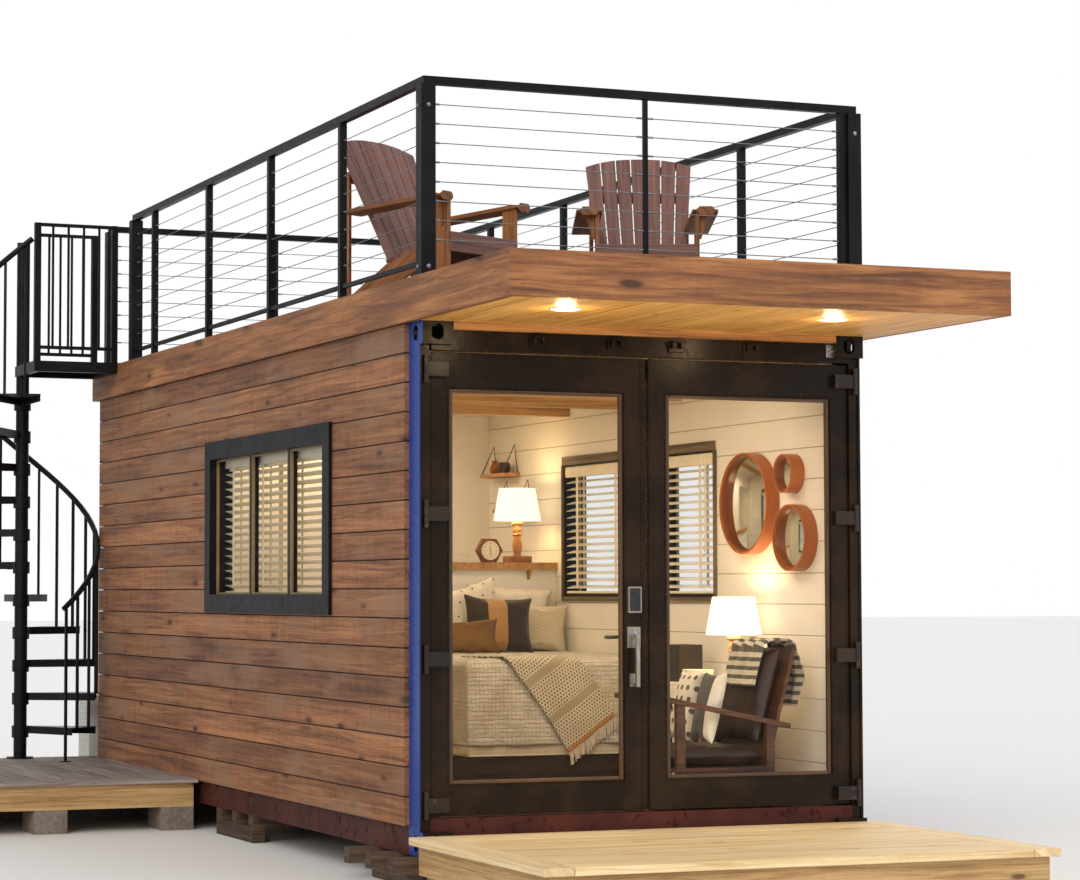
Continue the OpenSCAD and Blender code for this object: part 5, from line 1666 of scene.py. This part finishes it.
        def paint(g: Graph, u: Wire, v: Wire, ground: Wire) -> Wire:
            """Stripe the knit and show its stitches."""
            band = (v / 0.046).part() > 0.55
            stitch = ((u / 0.012).part() - 0.5) * ((v / 0.014).part() - 0.5)
            colour = g.mix(band * 0.9, ground, "3b342c")
            return g.mix((abs(stitch) > 0.13) * 0.35, colour, "6d6355")

        wool = Cloth("chunky_knit", "d8ccb2", "bfb093", threads=350, depth=0.003, rough=1.0, pattern=paint)
        sheet = self.cloth("lounge_blanket", (90, 90), 9, shape, flat)
        bench.join("lounge_blanket", [sheet], self.palette.add(wool))

    def build(self) -> None:
        """Make every soft piece."""
        self.quilt()
        self.pillows()
        self.cushions()
        self.throw()
        self.blanket()


@dataclass
class Room(Assembly):
    """The room's linings, furniture and small things."""

    wall_x: float = 2339
    ledge_z: float = 1456

    def linings(self) -> None:
        """Dress the walls, ceiling, floor and beams."""
        self.dress(Wallboard("shiplap_wall", "f0e9da", "e4dbc8", pitch=0.165, start=0.04, only=Axis.X),
                   "wall_linings")
        self.dress(WHITE_WALL, "room_partition", "headboard_wall")
        self.dress(Wallboard("ceiling_boards", "efe8da", "e3dac8", pitch=0.16, start=0.03, across=Axis.X),
                   "ceiling")
        self.dress(Timber("floor_planks", "a98660", "8a6a48", "614630", "3d2a1b", along=Axis.Y,
                          across=Axis.X,
                          pitch=0.19, start=0.02, joint=0.003, tone=0.25, knots=0.5, rough=0.5),
                   "room_floor")
        self.dress(Timber("beam_pine", "d9b27a", "c1935a", "93673a", "5f3d20", along=Axis.X, across=Axis.Z,
                          tone=0.05, knots=0.8), "ceiling_beams")
        self.dress(Timber("shelf_pine", "d4a871", "b98751", "8b5f36", "5a381d", along=Axis.Y, across=Axis.Z,
                          tone=0.05, knots=0.5), "shelves")
        bench = self.bench
        skirts = [bench.block((self.wall_x - 14, 800, 180), (self.wall_x, 4800, 290), 2, Axis.Y),
                  bench.block((99, 150, 180), (113, 4800, 290), 2, Axis.Y)]
        bench.join("room_skirting", skirts, self.palette.add(WHITE_WALL))

    def mirrors(self) -> None:
        """Make the three round mirrors in their deep bent wood hoops."""
        bench = self.bench
        band, inner, glass = [], [], []
        for y, z, r in ((1000, 1752, 277), (548, 1898, 104), (486, 1556, 177)):
            centre = (self.wall_x, y, z)
            band.append(bench.lathe(centre, [(r - 9, 0), (r, 0), (r, 79), (r - 1, 80), (r - 9, 80), (r - 9,
                                                                                                     0)],
                                    64, Axis.X, -1))
            inner.append(bench.lathe(centre, [(r - 20, 22), (r - 10, 22), (r - 10, 74), (r - 12, 76),
                                              (r - 20, 74), (r - 20, 22)], 64, Axis.X, -1))
            glass.append(bench.lathe(centre, [(0, 48), (r - 11, 48), (r - 11, 50), (r - 14, 51), (0, 51)],
                                     64, Axis.X, -1))
        outer = Timber("bent_hoop_outer", "bd7038", "ad622d", "8f4c20", tone=0.05, knots=0.0, rough=0.35,
                       depth=0.0003)
        wood = Timber("bent_hoop_inner", "a35c2a", "8c4c20", "6d3815", tone=0.05, knots=0.0, rough=0.35,
                      depth=0.0003)
        made = bench.join("mirror_hoops", band, self.palette.add(outer))
        bench.join("mirror_inner_hoops", inner, self.palette.add(wood))
        bench.join("mirror_panes", glass, self.palette.add(Plain("mirror_silver", "e8ecea", "dfe4e2", 8.0,
                                                                 0.05, 1.0,
                                                                 0.00002)))
        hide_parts("wall_mirrors")

    def lamps(self) -> None:
        """Make the two table lamps: turned body, square foot, white shade."""
        bench = self.bench
        feet, bodies, shades, bulbs = [], [], [], []
        for x, y, z in ((2101, 3757.5, 1456), (2141.5, 885, 772)):
            feet.append(bench.block((x - 72, y - 72, z), (x + 72, y + 72, z + 42), 6, Axis.X, 3))
            bodies.append(bench.lathe((x, y, z + 42), [
                (0, 0), (27, 0), (28, 4), (23, 9), (24, 22), (30, 46), (32, 68), (30, 92), (25, 116),
                (23, 128),
                (30, 133), (32, 139), (28, 145), (26, 148), (30, 154), (30, 172), (27, 178), (24, 184),
                (24, 196),
                (37, 200), (40, 206), (38, 213), (14, 219), (7, 226), (7, 300), (0, 300)], 32))
            shades.append(bench.lathe((x, y, z + 267),
                                      [(150, 0), (150.5, 4), (115.5, 201), (115, 205), (112.5, 205),
                                                        (147, 2), (150, 0)], 72))
            bodies.append(bench.rod([(x - 113, y, z + 468), (x + 113, y, z + 468)], 2, 6))
            bulbs.append(bench.lathe((x, y, z + 330),
                                     [(0, 0), (12, 0), (14, 20), (28, 48), (30, 66), (22, 86),
                                                       (0, 96)], 20))
        foot = bench.join("lamp_feet", feet, self.palette.add(Timber(
            "lamp_foot_wood", "a8713d", "8c5929", "633a17", tone=0.1, knots=0.1, rough=0.4)))
        bench.join("lamp_bodies", bodies, self.palette.add(Timber(
            "lamp_body_wood", "d3a06a", "bc8550", "93602f", tone=0.1, knots=0.2, rough=0.38)))
        bench.join("lamp_shades", shades, self.palette.add(Plain(
            "lit_linen_shade", "faf4e6", "f3e9d2", 300.0, 0.8, 0.0, 0.0008, 1.0, "fff3da")))
        bench.join("lamp_bulbs", bulbs, self.palette.add(Plain(
            "lamp_bulb_glass", "fff6e2", "fff1d2", 10.0, 0.3, 0.0, 0.0001, 2.5, "ffe6b0")))
        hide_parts("table_lamps")

    def ledge_things(self) -> None:
        """Make the clock, the books, the brackets and what hangs on the side wall."""
        bench = self.bench
        z = self.ledge_z
        cx, cy, cz = 1905.2, 3757.5, z + 76.2
        case = bench.lathe((cx, cy + 25, cz), [(0, 0), (84, 0), (88, 4), (88, 46), (85, 50), (0, 50)], 6,
                           Axis.Y, -1)
        bench.join("hexagon_clock_case", [case], self.palette.add(Timber(
            "clock_walnut", "8f6038", "704726", "482b13", tone=0.1, knots=0.1, rough=0.4)))
        dial = bench.lathe((cx, cy - 25, cz), [(0, -2), (60, -2), (60, 2), (57, 3), (56, 1), (0, 1)], 48,
                           Axis.Y, -1)
        bench.join("clock_dial", [dial], self.palette.add(Plain("cream_dial", "efe6cf", "e5d9bd", 40.0,
                                                                0.6)))
        front = cy - 26
        marks = [bench.block((cx - 2, front - 2, cz + 40), (cx + 2, front, cz + 52), 0.3)]
        for i in range(12):
            angle = math.radians(30 * i)
            x, h = cx + 46 * math.sin(angle), cz + 46 * math.cos(angle)
            marks.append(bench.lathe((x, front, h), [(0, 0), (2.5, 0), (2.5, 1.5), (0, 1.5)], 10, Axis.Y,
                                     -1))
        marks += [bench.rod([(cx, front - 3, cz), (cx - 5, front - 3, cz + 27)], 2, 6),
                  bench.rod([(cx, front - 4, cz), (cx + 3, front - 4, cz - 38)], 1.5, 6)]
        bench.join("clock_hands", marks, self.palette.add(Plain("dark_hands", "1c1712", "2a231c", 100.0,
                                                                0.4)))
        books = []
        stack_x, stack_y = 1723, 3757
        for i, (w, d, h) in enumerate(((190, 130, 22), (180, 124, 16), (168, 118, 12))):
            base = z + (0, 22, 38)[i]
            x0, x1, y0, y1 = stack_x - w / 2, stack_x + w / 2, stack_y - d / 2, stack_y + d / 2
            books += [bench.block((x0, y0, base), (x1, y1, base + 2), 0.8),
                      bench.block((x0, y0, base + h - 2), (x1, y1, base + h), 0.8),
                      bench.block((x0, y0, base + 1), (x0 + 3, y1, base + h - 1), 0.8),
                      bench.block((x0 + 3, y0 + 3, base + 2), (x1 - 3, y1 - 3, base + h - 2), 0)]
        stack = bench.join("white_book_stack", books,
                           self.palette.add(Plain("book_paper", "eae2d0", "d6cbb3", 220.0, 0.8)))
        x0, x1 = 2066.5, 2216.5
        case = [bench.block((x0, 1400, 772), (x1, 1620, 977), 4, segments=2),
                bench.block((x0 - 2, 1414, 786), (x0 + 3, 1606, 963), 2)]
        bench.join("dresser_case", case, self.palette.add(Plain("dark_case", "3a3029", "2a221c", 80.0,
                                                                0.5)))
        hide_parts("ornaments")
        wires, things = [], []
        for y0, z0, apex in ((4270, 2052, 2240), (4050, 1812, 2000)):
            for y in (y0 + 24, y0 + 376):
                wires.append(bench.rod([(2222, y, z0 - 10), (2312, y, apex), (2333, y, z0 - 10)], 5, 6))
        bench.join("shelf_hanger_straps", wires, self.palette.add(Plain("brown_strap", "6e472b", "553420",
                                                                        90.0, 0.6)))
        jug = bench.lathe((2280, 4550, 2052), [(0, 0), (26, 0), (34, 14), (36, 34), (28, 56), (20, 70), (22,
                                                                                                         84),
                                               (25, 90), (23, 90), (18, 72), (26, 54), (33, 34), (0, 6)],
                          28)
        things.append(jug)
        things.append(bench.rod([(2280, 4514, 2082), (2280, 4496, 2104), (2280, 4502, 2126),
                                 (2280, 4530, 2132)], 3, 8))
        bench.join("copper_jug", things, self.palette.add(Plain("hammered_copper", "c27a48", "9c5a30",
                                                                140.0, 0.28, 0.85,
                                                                0.002)))
        pot = bench.lathe((2275, 4385, 2052), [(0, 0), (28, 0), (38, 10), (43, 34), (41, 58), (34, 72), (31,
                                                                                                         72),
                                               (37, 56), (38, 32), (0, 8)], 28)
        bench.join("dark_pot", [pot], self.palette.add(Plain("dark_glazed_clay", "2a2521", "3c342d", 50.0,
                                                             0.3)))
        arms = []
        for x in (1100, 1600, 2150):
            arms.append(bench.prism([(3700, 1411), (3664, 1411), (3664, 1405), (3694, 1350), (3700, 1350)],
                                    x - 9, x + 9, 1))
        bench.join("ledge_brackets", arms, self.palette.add(Timber(
            "bracket_pine", "c99c64", "ad7c49", "80552f", tone=0.1, knots=0.2)))

    def dresser(self) -> None:
        """Make the dresser's drawer fronts, copper pulls, books and bowl."""
        bench = self.bench
        self.dress(Wallboard("dresser_paint", "efe8d9", "e0d6c2", rough=0.45), "dresser")
        fronts, pulls = [], []
        for y0, y1 in ((808, 1219), (1231, 1642)):
            fronts.append(bench.block((1938, y0, 664), (1946, y1, 748), 2, Axis.Y, 2))
            fronts.append(bench.block((1934, y0 + 14, 678), (1939, y1 - 14, 734), 2, Axis.Y, 2))
            middle = (y0 + y1) / 2
            pulls.append(bench.rod([(1934, middle - 45, 706), (1916, middle - 40, 706),
                                    (1916, middle + 40, 706),
                                    (1934, middle + 45, 706)], 4.5, 10))
            pulls += [bench.lathe((1935, middle + s, 706), [(0, 0), (9, 0), (8, 3), (0, 4)], 16, Axis.X, -1)
                      for s in (-45, 45)]
        bench.join("dresser_drawer_fronts", fronts, self.palette.add(WHITE_WALL))
        bench.join("dresser_pulls", pulls, self.palette.add(Plain("brushed_copper", "c98656", "a8643a",
                                                                  200.0, 0.3, 0.9)))
        luck = random.Random(11)
        cloths = [Plain(f"book_cloth_{i}", a, b, 260.0, 0.8) for i, (a, b) in enumerate(
            (("57616b", "454e57"), ("9a7b58", "836546"), ("d8cdb6", "c4b79c"), ("3c342f", "2b2521")))]
        sets: list[list[bpy.types.Object]] = [[] for _ in cloths]
        for start, stop in ((835, 1195), (1255, 1610)):
            y = start
            while y < stop - 40:
                t, h, d = luck.randint(16, 38), luck.randint(170, 250), luck.randint(130, 185)
                sets[luck.randrange(len(cloths))].append(
                    bench.block((1975, y, 270), (1975 + d, y + t, 270 + h), 3, Axis.Z, 2))
                y += t + 1
                if luck.random() < 0.12:
                    y += 70
        for number, (group, cloth) in enumerate(zip(sets, cloths)):
            if group:
                bench.join(f"dresser_books_{number + 1}", group, self.palette.add(cloth))
        bowl = bench.lathe((2060, 1150, 772), [(0, 0), (34, 0), (36, 6), (62, 24), (82, 52), (88, 74), (85,
                                                                                                        75),
                                               (78, 54), (58, 28), (30, 12), (0, 10)], 40)
        bench.join("white_bowl", [bowl], self.palette.add(Plain("white_glaze", "f2ecdf", "e7dfcd", 30.0,
                                                                0.2)))

    def build(self) -> None:
        """Dress the room and make its things."""
        self.linings()
        self.mirrors()
        self.lamps()
        self.ledge_things()
        self.dresser()
        self.dress(Timber("lounge_chair_wood", "6e4526", "4f2e17", "2f1a0c", wrap=True, tone=0.05,
                          knots=0.1,
                          rough=0.38), "lounge_chair")


@dataclass
class RoofChairs(Assembly):
    """The two slatted chairs on the roof deck."""

    places: tuple[tuple[float, float, float], ...] = ((570, 1360, 27), (1850, 1380, -22))
    deck_z: float = 2785
    depth: float = 760
    seat_h: float = 370
    seat_rear: float = 230
    back_y: float = 60
    lean: float = 26
    inner: float = 271

    def slats(self, cx: float, cy: float) -> list[bpy.types.Object]:
        """Make the fan of back slats and the seat's slats of one chair, facing the front."""
        bench = self.bench
        z0 = self.deck_z
        made = []
        lean = math.radians(self.lean)
        for i in range(7):
            k = i - 3
            low_x, high_x = k * 69.5, k * 86.5
            low_w, high_w = 63, 80
            length = 796
            slat = bench.block((cx - 30, cy - 10, z0), (cx + 30, cy + 10, z0 + length), 4, Axis.Z, 2)
            base = bench.at(cx, cy, z0)
            turn = Matrix.Rotation(-lean, 4, "X")
            spot = Vector((0, self.back_y / 1000 + 0.010, self.seat_rear / 1000 + 0.006))
            for corner in slat.data.vertices:
                p = corner.co - base
                share = min(max(p.z * 1000 / length, 0), 1)
                width = (low_w + (high_w - low_w) * share) / 60
                p.x = p.x * width + (low_x + (high_x - low_x) * share) / 1000
                p.z -= share ** 8 * 0.052 * abs(p.x / 0.3) ** 2.5
                corner.co = base + turn @ p + spot
            made.append(slat)
        y0 = -self.depth / 2
        slope = math.atan2(self.seat_rear + 22 - self.seat_h, self.back_y + 22 - y0)
        run = (self.back_y + 22 - y0) / math.cos(slope)
        step = run / 5
        for i in range(5):
            slat = bench.block((cx - self.inner, cy, z0 - 20), (cx + self.inner, cy + step - 7, z0), 4,
                               Axis.X, 2)
            base = bench.at(cx, cy, z0)
            turn = Matrix.Rotation(slope, 4, "X")
            shift = Vector((0, y0 / 1000, self.seat_h / 1000)) + turn @ Vector((0, i * step / 1000, 0))
            for corner in slat.data.vertices:
                corner.co = base + turn @ (corner.co - base) + shift
            made.append(slat)
        apron = bench.block((cx - self.inner, cy + y0 - 11, z0 + 262),
                            (cx + self.inner, cy + y0 + 11, z0 + 366), 4,
                            Axis.X, 2)
        made.append(apron)
        return made

    def sides(self, cx: float, cy: float) -> list[bpy.types.Object]:
        """Make the legs, rails, arms, brackets and crossbar of one chair, facing the front."""
        bench = self.bench
        z0, y0 = self.deck_z, -self.depth / 2
        bar_y = self.back_y + 48 + (690 - self.seat_rear) * math.tan(math.radians(self.lean))
        made = []
        for side in (-1, 1):
            xa, xb = sorted((cx + side * 260, cx + side * 282))
            made.append(bench.block((xa, cy + y0, z0), (xb, cy + y0 + 90, z0 + 549), 3, Axis.Z, 2))
            made.append(bench.block((xa, cy + bar_y, z0), (xb, cy + bar_y + 46, z0 + 750), 3, Axis.Z, 2))
            made.append(bench.prism([(cy + y0 + 2, z0 + 368), (cy + y0 + 2, z0 + 260),
                                     (cy - y0 - 70, z0 + 2),
                                     (cy - y0 + 68, z0 + 2), (cy + 60, z0 + 230)], xa + 2, xb - 2, 2,
                                    Vector((0, 0.83, -0.55))))
            arm_x = cx + side * 315
            arm = bench.block((arm_x - 70, cy + y0 - 22, z0 + 538), (arm_x + 70, cy + y0 + 658, z0 + 560),
                              0, Axis.Y)
            bench.edit(arm, pick="DESELECT")
            for edge in arm.data.edges:
                a, b = (arm.data.vertices[i].co for i in edge.vertices)
                front = max(a.y, b.y) < bench.at(0, cy + y0, 0).y
                edge.select = front and abs(a.z - b.z) > 0.01
            bench.edit(arm, lambda: bpy.ops.mesh.bevel(offset=0.035, segments=5, affect="EDGES"), pick="")
            bench.finish(arm, "BEVEL", width=0.003, segments=2, limit_method="ANGLE")
            bench.grain(arm, Vector((0, 1, 0)))
            front = bench.at(0, cy + y0 + 90, 0).y
            for corner in arm.data.vertices:
                corner.co.z -= max(corner.co.y - front, 0) * 0.06
            made.append(arm)
            gusset = bench.prism([(0, z0 + 538), (0, z0 + 400), (12, z0 + 400), (56, z0 + 538)], 0, 20, 2)
            corner_spot = bench.at(0, 0, 0)
            for corner in gusset.data.vertices:
                out, back = corner.co.y - corner_spot.y, corner.co.x - corner_spot.x
                corner.co.x = bench.at(cx + side * 282, 0, 0).x + side * out
                corner.co.y = bench.at(0, cy + y0 + 30, 0).y + back
            bench.edit(gusset, lambda: bpy.ops.mesh.normals_make_consistent(inside=False))
            made.append(gusset)
        made.append(bench.block((cx - self.inner, cy + bar_y, z0 + 690),
                                (cx + self.inner, cy + bar_y + 24, z0 + 750),
                                3, Axis.X, 2))
        return made

    def bolts(self, cx: float, cy: float) -> list[bpy.types.Object]:
        """Make the screw heads of one chair, facing the front."""
        bench = self.bench
        made = []
        for side in (-1, 1):
            for y, z in ((-335, 330), (-335, 500), (355, 600), (355, 720)):
                made.append(bench.lathe((cx + side * 282, cy + y, self.deck_z + z),
                                        [(0, 0), (7, 0), (6, 2.5), (0, 3)], 10, Axis.X, side))
        return made

    def build(self) -> None:
        """Make both chairs."""
        plum = self.palette.add(Timber("plum_slats", "8c665b", "78544b", "5c3f38", "3a2520", tone=0.16,
                                       knots=0.1, rough=0.7, saw=0.02))
        orange = self.palette.add(Timber("orange_brown_arms", "a8703f", "8a562d", "5f381c", "351d0e",
                                         tone=0.2,
                                         knots=0.4, rough=0.65))
        metal = self.palette.add(BRIGHT)
        for number, (cx, cy, turn) in enumerate(self.places):
            about = (cx, cy, 0)
            for label, parts, finish in (("slats", self.slats(cx, cy), plum),
                                         ("frame", self.sides(cx, cy), orange),
                                         ("screws", self.bolts(cx, cy), metal)):
                spun = []
                for part in parts:
                    spun.append(self.bench.copy(part, turn=turn, about=about))
                    bpy.data.objects.remove(part)
                self.bench.join(f"roof_chair_{number + 1}_{label}", spun, finish)
        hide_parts("roof_chairs")


@dataclass
class Extras(Assembly):
    """The downlights and the outdoor unit."""

    def lights(self) -> None:
        """Make the downlights' rims and lit lenses."""
        bench = self.bench
        rims, lenses = [], []
        for x in (418, 1832.4):
            rims.append(bench.lathe((x, -765, 2585),
                                    [(56, -8), (56, 6), (60, 7), (72, 5), (75, 1), (75, 0), (68, -8),
                                                      (56, -8)], 40, Axis.Z, -1))
            lenses.append(bench.lathe((x, -765, 2583), [(0, 0), (56.5, 0), (56.5, -6), (0, -6)], 40))
        rim = bench.join("downlight_rims", rims, self.palette.add(Plain("white_rim", "f0ebe0", "e3dccd",
                                                                        60.0, 0.4)))
        bench.join("downlight_lenses", lenses, self.palette.add(Plain("lit_lens", "fff8e6", "fff2d4", 20.0,
                                                                      0.4, 0.0,
                                                                      0.0001, 6.0, "ffe2a6")))
        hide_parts("downlights")

    def unit(self) -> None:
        """Give the outdoor unit its grille, louvres, feet and valves."""
        bench = self.bench
        self.dress(Plain("unit_paint", "d9dbd6", "c6c8c2", 40.0, 0.5, 0.0, 0.0006), "outdoor_unit")
        x0, y1, z0 = -70, 6458, 20
        cx, cz = x0 + 770 * 0.4, z0 + 272
        rings = []
        for i in range(10):
            r = 30 + i * 20
            rings.append(bench.lathe((cx, y1 + 17, cz),
                                     [(r, 0), (r + 2.5, 0), (r + 2.5, 2.5), (r, 2.5), (r, 0)], 40,
                                     Axis.Y))
        for i in range(8):
            a = math.radians(i * 45)
            rings.append(bench.rod([(cx, y1 + 18, cz),
                                    (cx + 215 * math.cos(a), y1 + 18, cz + 215 * math.sin(a))], 1.8, 6))
        bench.join("unit_fan_guard", rings, self.palette.add(Plain("dark_wire", "2c2e2f", "3a3c3d", 90.0,
                                                                   0.5, 0.3)))
        fins = [bench.block((x0 - 3, y1 - 270, z0 + 60 + i * 22), (x0 + 1, y1 - 40, z0 + 70 + i * 22), 1)
                for i in range(20)]
        fins += [bench.block((x, y1 - 290, z0 - 20), (x + 60, y1 - 10, z0), 2) for x in (x0 + 80, x0 + 620)]
        fins.append(bench.block((x0 + 560, y1, z0 + 60), (x0 + 740, y1 + 6, z0 + 480), 3, segments=2))
        fins.append(bench.block((x0 - 4, y1 - 296, z0 + 535), (x0 + 774, y1 + 4, z0 + 549), 5, segments=2))
        bench.join("unit_louvres_and_feet", fins, self.palette.add(Plain("unit_trim", "cfd1cc", "b9bbb5",
                                                                         60.0, 0.5)))

    def build(self) -> None:
        """Make both."""
        self.lights()
        self.unit()


@dataclass
class Studio:
    """The photo's camera, a pale floor and soft plain light."""

    bench: Bench
    eye: Point = (-4814.2, -12446.4, 1273.2)
    yaw: float = 0.3726
    pitch: float = 0.0547
    roll: float = -0.0005
    focus: float = 2767.66
    shift: float = 0.1

    def camera(self) -> None:
        """Place the camera where the photo was taken."""
        data = bpy.data.cameras.new("photo_camera")
        data.sensor_width = SENSOR
        data.lens = self.focus * SENSOR / PHOTO_WIDTH
        data.shift_x = self.shift
        data.clip_end = 200
        camera = bpy.data.objects.new("photo_camera", data)
        bpy.context.scene.collection.objects.link(camera)
        way = Vector((math.sin(self.yaw) * math.cos(self.pitch), math.cos(self.yaw) * math.cos(self.pitch),
                      math.sin(self.pitch)))
        right = Vector((math.cos(self.yaw), -math.sin(self.yaw), 0))
        up = right.cross(way)
        x = right * math.cos(self.roll) + up * math.sin(self.roll)
        y = up * math.cos(self.roll) - right * math.sin(self.roll)
        turn = Matrix((x, y, -way)).transposed().to_4x4()
        camera.matrix_world = Matrix.Translation(self.bench.at(*self.eye)) @ turn
        bpy.context.scene.camera = camera

    def floor(self) -> None:
        """Lay a wide pale floor that the camera sees as white."""
        bpy.ops.object.select_all(action="DESELECT")
        bpy.ops.mesh.primitive_plane_add(size=240, location=(0, 0, -0.001))
        floor = bpy.context.active_object
        floor.name = "studio_floor"
        g = Graph("studio_floor")
        vector = g.join(*g.place())
        tone = g.mix(g.noise(vector, 0.7, 2.0), "f0efec", "ecebe8")
        floor.data.materials.append(g.surface(Base_Color=tone, Roughness=0.9))

    def aim(self, name: str, data: bpy.types.Light, place: Point, target: Point) -> None:
        """Hang a lamp and turn it to what it lights.

        Args:
            name: Its name.
            data: Its light.
            place: Where it is, mm.
            target: What it faces, mm.
        """
        lamp = bpy.data.objects.new(name, data)
        bpy.context.scene.collection.objects.link(lamp)
        lamp.location = self.bench.at(*place)
        lamp.rotation_mode = "QUATERNION"
        lamp.rotation_quaternion = (self.bench.at(*target) - lamp.location).to_track_quat("-Z", "Y")
        lamp.visible_camera = False

    def sun(self, name: str, place: Point, power: float, code: str = "ffffff", spread: float = 40) -> None:
        """Hang one far, even lamp.

        Args:
            name: Its name.
            place: Where it shines from, mm.
            power: Its strength.
            code: Its colour.
            spread: How soft it is, degrees.
        """
        data = bpy.data.lights.new(name, "SUN")
        data.energy, data.color, data.angle = power, linear(code)[:3], math.radians(spread)
        self.aim(name, data, place, (1219, 3000, 1300))

    def lamp(self, name: str, place: Point, target: Point, size: float, power: float,
             code: str = "ffffff") -> None:
        """Hang one square soft lamp.

        Args:
            name: Its name.
            place: Where it is, mm.
            target: What it faces, mm.
            size: Its side, metres.
            power: Its power, watts.
            code: Its colour.
        """
        data = bpy.data.lights.new(name, "AREA")
        data.size, data.energy, data.color = size, power, linear(code)[:3]
        self.aim(name, data, place, target)
        bpy.data.objects[name].visible_glossy = False

    def bulb(self, name: str, place: Point, power: float, radius: float = 0.05) -> None:
        """Hang one small warm bulb.

        Args:
            name: Its name.
            place: Where it is, mm.
            power: Its power, watts.
            radius: Its radius, metres.
        """
        data = bpy.data.lights.new(name, "POINT")
        data.energy, data.shadow_soft_size, data.color = power, radius, linear("ffdca6")[:3]
        lamp = bpy.data.objects.new(name, data)
        bpy.context.scene.collection.objects.link(lamp)
        lamp.location = self.bench.at(*place)

    def build(self) -> None:
        """Set the camera, the floor and the light."""
        scene = bpy.context.scene
        scene.view_settings.view_transform = "Standard"
        self.camera()
        self.floor()
        world = bpy.data.worlds.new("studio_world")
        world.use_nodes = True
        scene.world = world
        tree = world.node_tree
        tree.nodes.clear()
        path = tree.nodes.new("ShaderNodeLightPath")
        soft, white = tree.nodes.new("ShaderNodeBackground"), tree.nodes.new("ShaderNodeBackground")
        soft.inputs[0].default_value, soft.inputs[1].default_value = linear("f2f4f8"), 0.62
        white.inputs[0].default_value, white.inputs[1].default_value = (1, 1, 1, 1), 1.0
        mix, output = tree.nodes.new("ShaderNodeMixShader"), tree.nodes.new("ShaderNodeOutputWorld")
        most = tree.nodes.new("ShaderNodeMath")
        most.operation = "MAXIMUM"
        tree.links.new(path.outputs["Is Camera Ray"], most.inputs[0])
        tree.links.new(path.outputs["Is Transmission Ray"], most.inputs[1])
        tree.links.new(most.outputs[0], mix.inputs[0])
        tree.links.new(soft.outputs[0], mix.inputs[1])
        tree.links.new(white.outputs[0], mix.inputs[2])
        tree.links.new(mix.outputs[0], output.inputs[0])
        self.sun("key_light", (-9000, -9000, 9000), 1.5, "fff6ea")
        self.sun("fill_light", (12000, -6000, 9000), 0.7, "f4f6ff", 60)
        self.sun("back_light", (6000, 16000, 9000), 0.8, "ffffff", 60)
        self.lamp("soffit_light", (1219, -1500, 260), (1219, -600, 2500), 1.4, 22, "ffe2b4")
        self.lamp("doorway_light", (1219, 330, 2250), (1300, 2700, 600), 0.8, 12, "ffe9c8")
        for number, y in enumerate((900, 2600, 4300)):
            self.lamp(f"room_light_{number + 1}", (1219, y, 2360), (1219, y, 0), 0.7, 11, "ffe9c8")
        self.lamp("rear_room_light", (1219, 5400, 2420), (1219, 5400, 0), 0.5, 10, "ffe9c8")
        self.bulb("ledge_lamp_light", (2101, 3757, 1850), 9)
        self.bulb("dresser_lamp_light", (2141, 885, 1165), 13)
        for number, x in enumerate((418, 1832)):
            self.bulb(f"downlight_glow_{number + 1}", (x, -765, 2560), 5, 0.04)


def main() -> None:
    """Build the looks round the frame."""
    logging.basicConfig(level=logging.INFO, format="%(message)s")
    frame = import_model()
    bench = Bench(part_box("corner_castings")[0])
    palette = Palette()
    Studio(bench).build()
    nodes = frame["nodes"]
    for part in (Shell, Doors, Decks, Railing, Windows, Room, Softs, RoofChairs, Extras):
        part(bench, palette, nodes).build()
        LOG.info("%s done", part.__name__)


if __name__ == "__main__":
    main()
